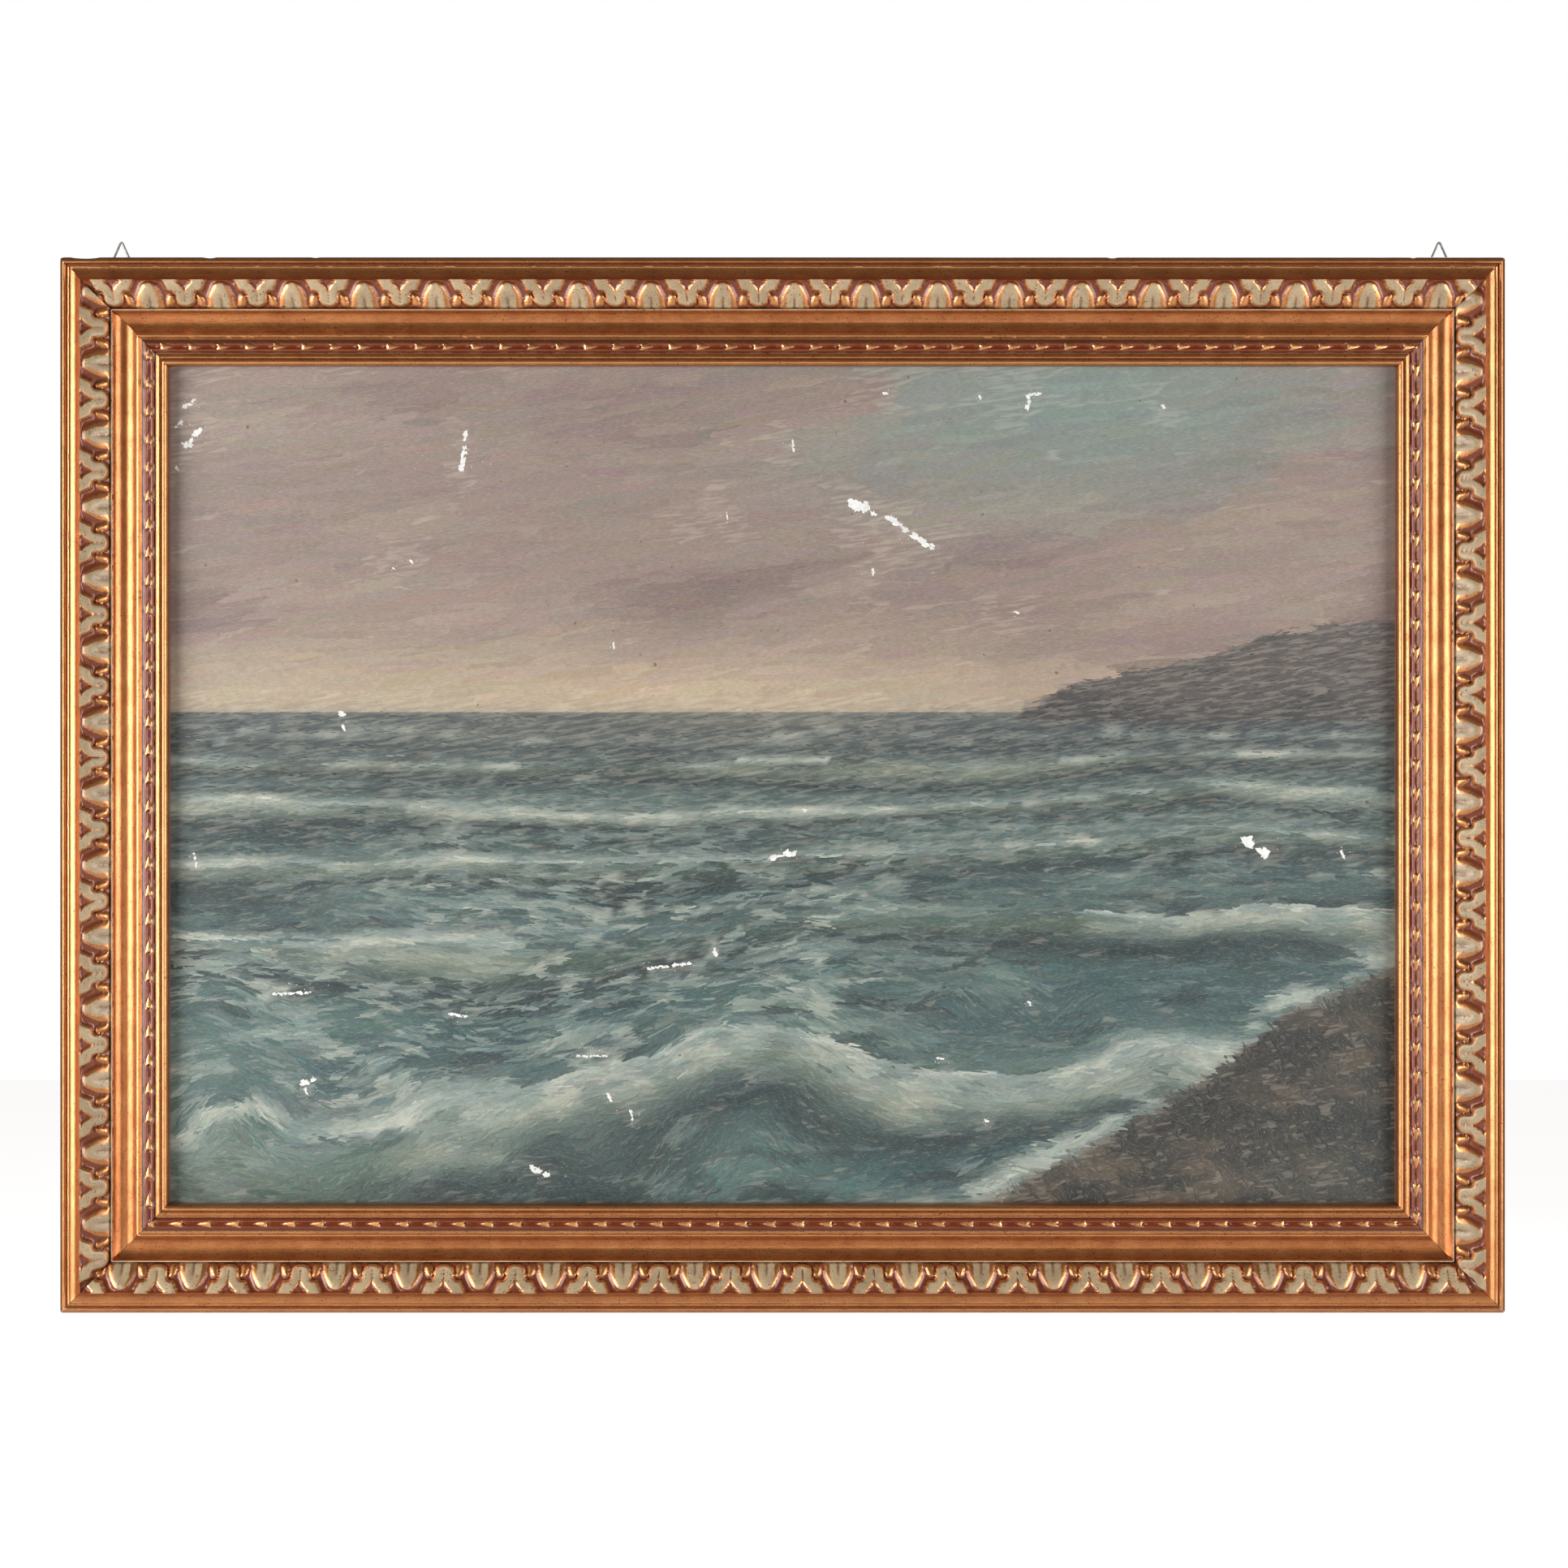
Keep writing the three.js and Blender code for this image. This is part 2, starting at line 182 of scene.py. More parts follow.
# camera and light
viewing = {"distance": 1.8, "rise": 0.1, "across": 1.007, "aside": 0.0009, "down": -0.0007}
lighting = {"left": 46.0, "right": 34.0, "front": 5.5, "behind": 12.0, "fill": 0.16, "floor": 0.8}


def setCamera():
    data = bpy.data.cameras.new("camera")
    camera = bpy.data.objects.new("camera", data)
    bpy.context.scene.collection.objects.link(camera)
    silhouette = -0.030
    camera.location = (
        viewing["aside"],
        silhouette - viewing["distance"],
        centreZ - viewing["down"] + viewing["rise"],
    )
    camera.rotation_euler = (math.pi / 2, 0, 0)
    data.sensor_width = 36
    data.lens = data.sensor_width * viewing["distance"] / viewing["across"]
    data.shift_y = -viewing["rise"] / viewing["across"]
    bpy.context.scene.camera = camera
    bpy.context.scene.view_settings.view_transform = "Standard"


def addSoftLight(name, place, target, size, power, color=(1, 1, 1)):
    data = bpy.data.lights.new(name, "AREA")
    data.shape = "RECTANGLE"
    data.size, data.size_y = size
    data.energy = power
    data.color = color
    lamp = bpy.data.objects.new(name, data)
    lamp.location = place
    lamp.rotation_euler = (Vector(target) - Vector(place)).to_track_quat("-Z", "Y").to_euler()
    bpy.context.scene.collection.objects.link(lamp)


def setStudio():
    middle = (0, 0, centreZ)
    addSoftLight("softboxLeft", (-1.75, -1.15, centreZ), middle, (1.3, 1.2), lighting["left"])
    addSoftLight("softboxRight", (1.75, -1.15, centreZ), middle, (1.3, 1.2), lighting["right"])
    addSoftLight("softboxFront", (0, -2.6, centreZ - 0.5), middle, (1.6, 0.8), lighting["front"])
    addSoftLight("softboxBehind", (0.9, 1.9, 0.7), middle, (1.4, 1.4), lighting["behind"])
    world = bpy.data.worlds.new("studio")
    world.use_nodes = True
    tree = world.node_tree
    tree.nodes.clear()
    seen = put(tree, "ShaderNodeLightPath").outputs["Is Camera Ray"]
    pale = put(tree, "ShaderNodeBackground", {"Color": (1, 1, 1, 1), "Strength": 1.0})
    soft = put(tree, "ShaderNodeBackground", {"Color": (1, 0.97, 0.94, 1), "Strength": lighting["fill"]})
    both = put(tree, "ShaderNodeMixShader", {0: seen, 1: soft.outputs[0], 2: pale.outputs[0]})
    put(tree, "ShaderNodeOutputWorld", {"Surface": both.outputs[0]})
    bpy.context.scene.world = world
    floor = meshObject(
        "floor",
        [(x, y, outerBottom - 0.5) for x, y in ((-4, -3), (4, -3), (4, 4), (-4, 4))],
        [(0, 1, 2, 3)],
    )
    paleFloor, paleTree, shader = newMaterial("paleFloor")
    seen = put(paleTree, "ShaderNodeLightPath").outputs["Is Camera Ray"]
    wire(paleTree, maths(paleTree, "MULTIPLY", seen, lighting["floor"]), shader.inputs["Emission Strength"])
    shader.inputs["Base Color"].default_value = (0.86, 0.86, 0.85, 1)
    shader.inputs["Roughness"].default_value = 0.9
    shader.inputs["Emission Color"].default_value = (1, 0.99, 0.98, 1)
    floor.data.materials.append(paleFloor)


setCamera()
setStudio()
print("camera and studio ready")


# the moulding's section: each span runs in from the outer edge (inward, height),
# tone is how far it is washed grey, rubbed bright, down to the red-brown bole, and darkened, mostly as
# painted shade in its grooves and joints
moulding = {
    "leafRepeat": 45.8,
    "leafOuter": 16.2,
    "leafInner": 33.2,
    "arrowRepeat": 18.1,
    "arrowOuter": 54.5,
    "arrowInner": 61.2,
    "stationStep": 1.35,
    "mitreGap": 0.3,
    "cornerRadius": 2.4,
}
sectionSpans = [
    {"path": [(3, 0), (1, 10), (0.2, 22), (0, 29.5)], "rows": 4, "tone": (0, 0, 0.75, 0.3)},
    {"path": [(0, 29.5), (0.5, 31.2), (1.5, 31.9)], "rows": 3, "tone": (0, 0.05, 0.4, 0.2)},
    {
        "path": [(1.5, 31.9), (2.1, 33.3), (3.2, 34), (4.2, 33.3), (4.6, 32.2)],
        "rows": 6, "tone": (0, 0.2, 0, 0),
    },
    {"path": [(4.6, 32.2), (5.3, 32.2)], "rows": 2, "tone": (0, 0, 0.6, 0.8)},
    {
        "path": [(5.3, 32.2), (5.7, 33.6), (6.4, 33.8), (6.8, 33.4)],
        "rows": 3, "tone": (0, 0.45, 0, 0),
    },
    {"path": [(6.8, 33.4), (9.4, 34)], "rows": 2, "tone": (0, 0.1, 0.05, 0.1)},
    {
        "path": [(9.4, 34), (11.5, 35.2), (13.6, 37.8), (15.2, 41), (16.1, 43.2)],
        "rows": 7, "tone": (0, 0.1, 0, 0),
    },
    {
        "path": [(16.2, 43.4), (20.4, 41.9), (25, 39.6), (29.4, 37.2), (33.2, 35.2)],
        "rows": 26, "tone": (0, 0, 1, 0),
    },
    {"path": [(33.4, 34.3), (33.9, 35)], "rows": 1, "tone": (0, 0, 0.8, 0.9)},
    {"path": [(33.9, 35.1), (34.9, 35.1)], "rows": 2, "tone": (0.75, 0.4, 0, 0)},
    {"path": [(34.9, 35), (35.4, 33.6)], "rows": 1, "tone": (0, 0, 0.5, 0.7)},
    {
        "path": [(35.4, 33.6), (38, 31), (42, 29.4), (46, 30.2)],
        "rows": 7, "tone": (0, 0, 0.12, 0.12),
    },
    {"path": [(46, 30.2), (47.8, 31.2), (49.6, 32.6)], "rows": 3, "tone": (0, 0, 0.3, 0.4)},
    {
        "path": [(49.6, 32.6), (50.4, 33.4), (51, 33.4), (51.4, 32.8)],
        "rows": 3, "tone": (0, 0.5, 0, 0),
    },
    {"path": [(51.4, 32.8), (53.8, 33)], "rows": 2, "tone": (0, 0.1, 0.25, 0.2)},
    {"path": [(53.9, 33), (54.4, 32.6)], "rows": 1, "tone": (0, 0, 0.8, 0.9)},
    {"path": [(54.5, 33.1), (61.2, 33.1)], "rows": 12, "tone": (0, 0, 0.9, 0)},
    {"path": [(61.3, 32.3), (61.9, 32.2)], "rows": 1, "tone": (0, 0, 0.9, 0.9)},
    {"path": [(62, 32.3), (63.2, 32.3)], "rows": 2, "tone": (0, 0, 0.35, 0.3)},
    {"path": [(63.6, 33.3), (64.8, 33.4), (65.6, 32.8)], "rows": 2, "tone": (0, 0.1, 0.35, 0.2)},
    {"path": [(65.6, 32.8), (66, 33.6)], "rows": 1, "tone": (0, 0, 0.5, 0.8)},
    {
        "path": [(66, 33.9), (66.6, 35.3), (67.8, 36), (69.2, 35), (70, 33.2)],
        "rows": 6, "tone": (0, 0.3, 0, 0),
    },
    {"path": [(70, 33.2), (70, 26)], "rows": 2, "tone": (0, 0, 0.6, 0.3)},
    {"path": [(70, 26), (62.5, 26)], "rows": 1, "tone": (0, 0, 0, 0), "raw": 1},
    {"path": [(62.5, 26), (62.5, 0)], "rows": 1, "tone": (0, 0, 0, 0), "raw": 1},
    {"path": [(62.5, 0), (3, 0)], "rows": 1, "tone": (0, 0, 0, 0), "raw": 1},
]


def alongPath(points, count, closed=False):  # even samples of a smooth curve through the points
    p = np.asarray(points, float)
    if len(p) == 2 and not closed:
        t = np.arange(count) / count
        return p[0] + (p[1] - p[0]) * t[:, None]
    if closed:
        q = np.vstack([p[-1], p, p[:2]])
        spans = len(p)
    else:
        q = np.vstack([2 * p[0] - p[1], p, 2 * p[-1] - p[-2]])
        spans = len(p) - 1
    steps = np.arange(count) * spans / count
    i = np.minimum(steps.astype(int), spans - 1)
    t = (steps - i)[:, None]
    a, b, c, d = q[i], q[i + 1], q[i + 2], q[i + 3]
    return 0.5 * (2 * b + (c - a) * t + (2 * a - 5 * b + 4 * c - d) * t**2 + (3 * b - a - 3 * c + d) * t**3)


def makeSection():
    rows, tones, raws = [], [], []
    for span in sectionSpans:
        for point in alongPath(span["path"], span["rows"]):
            rows.append(point * mm)
            tones.append(span["tone"])
            raws.append(span.get("raw", 0))
    count = len(rows)
    edges = [(i, (i + 1) % count) for i in range(count)]
    section = meshObject("mouldingSection", [(d, h, 0) for d, h in rows], [], edges)
    setAttribute(section.data, "inward", "FLOAT", [d for d, _ in rows])
    setAttribute(section.data, "height", "FLOAT", [h for _, h in rows])
    setAttribute(section.data, "finish", "FLOAT_COLOR", tones)
    setAttribute(section.data, "raw", "FLOAT", raws)
    return section


def distanceInside(outline, x, y):  # signed distance to a closed outline, positive inside
    nearest = np.full(x.shape, 1e9)
    inside = np.zeros(x.shape, bool)
    for (ax, ay), (bx, by) in zip(outline, np.roll(outline, -1, axis=0)):
        dx, dy = bx - ax, by - ay
        t = np.clip(((x - ax) * dx + (y - ay) * dy) / (dx * dx + dy * dy + 1e-12), 0, 1)
        nearest = np.minimum(nearest, np.hypot(x - ax - t * dx, y - ay - t * dy))
        crosses = (ay > y) != (by > y)
        with np.errstate(divide="ignore", invalid="ignore"):
            at = ax + (y - ay) * dx / dy
        inside ^= crosses & (x < at)
    return np.where(inside, nearest, -nearest)


def mirrored(half, count):  # a closed outline from its right half, smoothed
    left = [(-x, y) for x, y in reversed(half)]
    points = [p for p in half + left]
    kept = [p for i, p in enumerate(points) if i == 0 or p != points[i - 1]]
    return alongPath(kept, count, closed=True)


def step(low, high, value):
    t = np.clip((value - low) / (high - low), 0, 1)
    return t * t * (3 - 2 * t)


# one repeat of the carved band: (along, inward) in mm from a tongue's or a strap's middle at the outer edge
leafShapes = {
    "tongue": [(0, 0.4), (3.2, 0.9), (5.2, 2.6), (7, 5.4), (8.8, 8.6), (9.9, 11.6), (10.1, 14.4), (10, 18.5)],
    "strap": [
        (15.4, -1.8), (13.9, 1), (12.6, 3.8), (11.5, 6), (10.8, 7.3), (9.3, 7.3), (7.6, 7.4), (6.6, 8.6),
        (6.3, 10.4), (6.3, 12.2), (5.4, 14.4), (3.2, 15.9), (0, 16.4),
    ],
    "kite": [(0, -1.4), (3, -0.6), (5.6, 1.2), (3.6, 2.9), (1.9, 5), (0.6, 7.2), (0, 8)],
    "lobe": [
        (7.3, 8.8), (9, 8.4), (10.8, 9.3), (12.1, 11), (12.9, 13.4), (12.9, 15.8), (11.6, 16.9), (9.4, 16.8),
        (7.6, 15.4), (6.9, 12.8), (6.7, 10.6),
    ],
}
leafRelief = {"tongue": 3.4, "strap": 2.45, "lobe": 2.1, "valley": -1.2, "kite": 2.0, "grain": 0.45}


def makeLeafDie():
    half = moulding["leafRepeat"] / 2
    wide = moulding["leafInner"] - moulding["leafOuter"]
    columns = round((2 * half + 1) / leafRelief["grain"]) + 1
    lines = round((wide + 0.4) / leafRelief["grain"]) + 1
    x, y = np.meshgrid(np.linspace(-half - 0.5, half + 0.5, columns), np.linspace(-0.2, wide + 0.2, lines))
    fromStrap = half - np.abs(x)  # the strap's middle is half a repeat away
    tongue = distanceInside(mirrored(leafShapes["tongue"], 60), x, y)
    strap = distanceInside(mirrored(leafShapes["strap"], 90), fromStrap, y)
    kite = distanceInside(mirrored(leafShapes["kite"], 60), fromStrap, y)
    lobe = distanceInside(alongPath(leafShapes["lobe"], 40, closed=True), fromStrap, y)

    def dome(distance, width, power=0.5):
        return (1 - (1 - np.clip(distance / width, 0, 1)) ** 2) ** power

    valley = leafRelief["valley"]
    height = valley * step(-0.2, 1.2, y)
    crease = np.exp(-((x / 1.5) ** 2)) * step(5, 13, y)
    mound = valley + leafRelief["tongue"] * dome(tongue, 7.5, 0.62) * (1 - 0.02 * y) - 0.9 * crease
    height = np.where(tongue > 0, np.maximum(height, mound), height)
    vein = np.exp(-((fromStrap / 0.5) ** 2)) * step(6, 7.5, y) * (1 - step(13, 15, y))
    plate = leafRelief["strap"] * dome(strap, 1.2, 0.6) - 1.0 * vein - 0.035 * y
    pit = leafRelief["kite"] * step(0, 1.5, kite)
    plate = plate - pit + 0.5 * np.exp(-((fromStrap / 0.8) ** 2)) * step(0.6, 2, kite)
    height = np.where(strap > 0, np.maximum(height, plate), height)
    knob = valley + leafRelief["lobe"] * dome(lobe, 2.9, 0.6)
    height = np.where((lobe > 0) & (strap < 0), np.maximum(height, knob), height)

    onStrap = step(0.5, 1.3, strap) * (1 - step(-0.7, 0.3, kite)) * (1 - 0.8 * vein)
    lateral = np.abs(x) / (2.5 + 6.4 * step(0, 11, y))
    onTongue = step(0.6, 2.2, tongue) * (1 - step(0.45, 0.8, lateral))
    wash = np.maximum(onStrap, 0.9 * onTongue * (1 - 0.3 * crease))
    wash = np.maximum(wash, step(1.4, 2.6, lobe) * 0.35)
    rim = np.exp(-(((strap - 0.4) / 0.4) ** 2)) * (0.5 + 0.5 * step(5, 9, y))
    rub = np.maximum(rim, 0.45 * step(0.8, 2.4, lobe))
    rub = np.maximum(rub, 0.3 * np.exp(-(((tongue - 2.4) / 1.6) ** 2)))
    rub = np.maximum(rub, 0.8 * np.exp(-(((kite + 0.2) / 0.35) ** 2)))
    shapes = np.maximum.reduce([strap, tongue - 1.6, lobe - 0.4])
    bole = np.maximum(1 - step(-0.5, 0.5, shapes), step(0.1, 0.9, kite) * 0.95)
    bole = np.maximum(bole, 0.5 * vein)
    # painted shade: dark lines round the strap and lobes, down the tongue's crease and the vein, along the
    # band's inner edge, and in the kite's recess, darkest at its outer end
    edge = np.exp(-(((np.maximum(strap, lobe) + 0.1) / 0.4) ** 2)) * 0.8
    creaseShade = 0.75 * crease * step(0, 1, tongue)
    paintedShade = np.maximum.reduce([edge, creaseShade, 0.9 * vein, step(16.2, 16.8, y) * 0.9])
    paintedShade = np.maximum(paintedShade, step(0.6, 1.6, kite) * (1 - 0.5 * step(0, 4, y)) * 0.5)
    tones = np.dstack([np.clip(tone, 0, 1) for tone in (wash, rub, bole, paintedShade)])
    return pressDie("leafDie", x, y, height, tones)


def makeArrowDie():
    length = moulding["arrowRepeat"]
    wide = moulding["arrowInner"] - moulding["arrowOuter"]
    x, y = np.meshgrid(np.linspace(-0.3, length + 0.3, 64), np.linspace(-0.1, wide + 0.1, 26))
    off = np.abs(y - wide / 2)
    fromBase = np.mod(x, length)
    arrowHalf = 2.75 * np.clip(1 - fromBase / 9.6, 0, 1) ** 0.85
    notch = 0.9 * (1 - off / 2.75)  # the tail is cut in a V
    onArrow = step(-0.1, 0.6, arrowHalf - off) * step(notch - 0.3, notch + 0.4, fromBase)
    arrow = 1.75 * onArrow * (1 - fromBase / 13) * (1 - 0.4 * off / 2.75)
    barrel = step(-0.2, 1.3, np.abs(off - arrowHalf * 0.5) + (arrowHalf < 1) * 1.0)
    ridge = np.exp(-(((off - 1.9) / 0.85) ** 2)) * step(1.5, 6, fromBase) * barrel
    cap = np.exp(-(((length - fromBase - 0.9) / 0.8) ** 2)) * step(0, 1.5, 2.9 - off)
    groove = -0.55 * np.exp(-((off / 0.6) ** 2)) * (1 - onArrow)
    height = np.maximum(arrow, 1.15 * np.maximum(ridge, 0.9 * cap)) + groove
    inside = step(-0.1, 0.5, y) * (1 - step(wide - 0.5, wide + 0.1, y))
    height = height * inside
    rub = (0.3 + 0.7 * np.exp(-((fromBase - 0.8) ** 2) / 2.4)) * onArrow
    # painted shade: a dark line round each arrow, at both edges of the band, and down the groove between
    # arrows
    paintedShade = np.maximum(np.exp(-(((arrowHalf - off + 0.2) / 0.4) ** 2)) * (fromBase < 9.6) * 0.8, 1 - inside)
    paintedShade = np.maximum(paintedShade, 0.6 * np.exp(-((off / 0.5) ** 2)) * (1 - onArrow))
    layers = (0 * rub, rub, 1 - onArrow, paintedShade)
    tones = np.dstack([np.clip(tone, 0, 1) for tone in layers])
    return pressDie("arrowDie", x, y, height, tones)


def pressDie(name, x, y, height, tones):
    lines, columns = x.shape
    vertices = np.column_stack([x.ravel(), y.ravel(), height.ravel()]) * mm
    faces = [
        (i * columns + j, i * columns + j + 1, (i + 1) * columns + j + 1, (i + 1) * columns + j)
        for i in range(lines - 1)
        for j in range(columns - 1)
    ]
    die = meshObject(name, vertices, faces)
    setAttribute(die.data, "tones", "FLOAT_COLOR", tones.reshape(-1, 4))
    return die


def sampleDie(tree, die, along, inward, repeat, phase, outer, centred):
    shifted = maths(tree, "SUBTRACT", along, phase)
    if centred:
        shifted = maths(tree, "ADD", shifted, maths(tree, "MULTIPLY", repeat, 0.5))
    wrapped = maths(tree, "FLOORED_MODULO", shifted, repeat)
    if centred:
        wrapped = maths(tree, "SUBTRACT", wrapped, maths(tree, "MULTIPLY", repeat, 0.5))
    across = maths(tree, "SUBTRACT", inward, outer)
    above = put(tree, "ShaderNodeCombineXYZ", {0: wrapped, 1: across, 2: 0.02})
    geometry = put(tree, "GeometryNodeObjectInfo", {"Object": die}).outputs["Geometry"]
    tones = put(tree, "GeometryNodeInputNamedAttribute", {"Name": "tones"}, data_type="FLOAT_COLOR")
    ray = put(
        tree,
        "GeometryNodeRaycast",
        {
            "Target Geometry": geometry,
            "Attribute": tones.outputs[0],
            "Source Position": above.outputs[0],
            "Ray Direction": (0, 0, -1),
            "Ray Length": 0.05,
        },
        data_type="FLOAT_COLOR",
    )
    depth = put(tree, "ShaderNodeSeparateXYZ", {0: ray.outputs["Hit Position"]}).outputs[2]
    return ray.outputs["Is Hit"], depth, ray.outputs["Attribute"]


def storeNamed(tree, geometry, name, kind, value):
    inputs = {"Geometry": geometry, "Name": name, "Value": value}
    node = put(tree, "GeometryNodeStoreNamedAttribute", inputs, data_type=kind, domain="POINT")
    return node.outputs[0]


def readNamed(tree, name, kind):
    return put(tree, "GeometryNodeInputNamedAttribute", {"Name": name}, data_type=kind).outputs[0]


def makeRailTree():  # a section run along a straight line, cut at both mitres, with two running patterns
    tree, given = newGeometryTree("carvedRail", [
        ("Section", "NodeSocketObject"), ("Leaf Die", "NodeSocketObject"), ("Arrow Die", "NodeSocketObject"),
        ("Half Length", "NodeSocketFloat"), ("Stations", "NodeSocketInt"), ("Mitre Gap", "NodeSocketFloat"),
        ("Leaf Repeat", "NodeSocketFloat"), ("Leaf Phase", "NodeSocketFloat"),
        ("Leaf Outer", "NodeSocketFloat"), ("Arrow Repeat", "NodeSocketFloat"),
        ("Arrow Phase", "NodeSocketFloat"), ("Arrow Outer", "NodeSocketFloat"),
        ("Wear", "NodeSocketFloat"), ("Seed", "NodeSocketFloat"), ("Finish", "NodeSocketMaterial"),
    ])
    line = put(tree, "GeometryNodeCurvePrimitiveLine", {"Start": (-1, 0, 0), "End": (1, 0, 0)})
    stations = {"Curve": line.outputs[0], "Count": given["Stations"]}
    path = put(tree, "GeometryNodeResampleCurve", stations).outputs[0]
    position = put(tree, "GeometryNodeInputPosition").outputs[0]
    share = put(tree, "ShaderNodeSeparateXYZ", {0: position}).outputs[0]
    path = storeNamed(tree, path, "share", "FLOAT", share)
    section = put(tree, "GeometryNodeObjectInfo", {"Object": given["Section"]}).outputs["Geometry"]
    loop = put(tree, "GeometryNodeMeshToCurve", {"Mesh": section}).outputs[0]
    swept = {"Curve": path, "Profile Curve": loop, "Fill Caps": True}
    bar = put(tree, "GeometryNodeCurveToMesh", swept).outputs[0]

    inward = readNamed(tree, "inward", "FLOAT")
    height = readNamed(tree, "height", "FLOAT")
    reach = maths(tree, "SUBTRACT", given["Half Length"], inward)
    reach = maths(tree, "SUBTRACT", reach, maths(tree, "MULTIPLY", given["Mitre Gap"], 0.5))
    along = maths(tree, "MULTIPLY", readNamed(tree, "share", "FLOAT"), reach)
    bar = storeNamed(tree, bar, "along", "FLOAT", along)
    along = readNamed(tree, "along", "FLOAT")
    onLeaf, leafHeight, leafTones = sampleDie(
        tree, given["Leaf Die"], along, inward,
        given["Leaf Repeat"], given["Leaf Phase"], given["Leaf Outer"], True)
    onArrow, arrowHeight, arrowTones = sampleDie(
        tree, given["Arrow Die"], along, inward,
        given["Arrow Repeat"], given["Arrow Phase"], given["Arrow Outer"], False)
    upright = maths(tree, "GREATER_THAN", height, 0.0305)
    onLeaf = maths(tree, "MULTIPLY", onLeaf, upright)
    onArrow = maths(tree, "MULTIPLY", onArrow, upright)
    leafRise = maths(tree, "MULTIPLY", leafHeight, onLeaf)
    arrowRise = maths(tree, "MULTIPLY", arrowHeight, onArrow)
    relief = maths(tree, "ADD", leafRise, arrowRise)
    plain = readNamed(tree, "finish", "FLOAT_COLOR")
    pick = put(tree, "GeometryNodeSwitch", {0: onLeaf, 1: plain, 2: leafTones}, input_type="RGBA")
    pick = put(tree, "GeometryNodeSwitch", {0: onArrow, 1: pick.outputs[0], 2: arrowTones}, input_type="RGBA")
    bar = storeNamed(tree, bar, "tones", "FLOAT_COLOR", pick.outputs[0])
    bar = storeNamed(tree, bar, "relief", "FLOAT", relief)
    relief = readNamed(tree, "relief", "FLOAT")
    out = maths(tree, "MULTIPLY", maths(tree, "ADD", height, relief), -1.0)
    down = maths(tree, "MULTIPLY", inward, -1.0)
    place = put(tree, "ShaderNodeCombineXYZ", {0: along, 1: out, 2: down}).outputs[0]
    seedShift = put(tree, "ShaderNodeCombineXYZ", {0: given["Seed"], 1: given["Seed"]}).outputs[0]
    shifted = vectors(tree, "ADD", place, seedShift)
    rub = put(tree, "ShaderNodeTexNoise", {"Vector": shifted, "Scale": 160.0, "Detail": 3.0})
    wander = vectors(tree, "SUBTRACT", rub.outputs[1], (0.5, 0.5, 0.5))
    depth = put(tree, "ShaderNodeVectorMath", {0: wander, "Scale": given["Wear"]}, operation="SCALE")
    inner = put(tree, "ShaderNodeSeparateXYZ", {0: depth.outputs[0]})
    hand = put(tree, "ShaderNodeCombineXYZ", {1: inner.outputs[1]}).outputs[0]
    worn = vectors(tree, "ADD", place, hand)
    bar = put(tree, "GeometryNodeSetPosition", {"Geometry": bar, "Position": worn}).outputs[0]
    bar = put(tree, "GeometryNodeRealizeInstances", {0: bar}).outputs[0]
    bar = put(tree, "GeometryNodeSetMaterial", {"Geometry": bar, "Material": given["Finish"]}).outputs[0]
    put(tree, "NodeGroupOutput", {0: bar})
    return tree


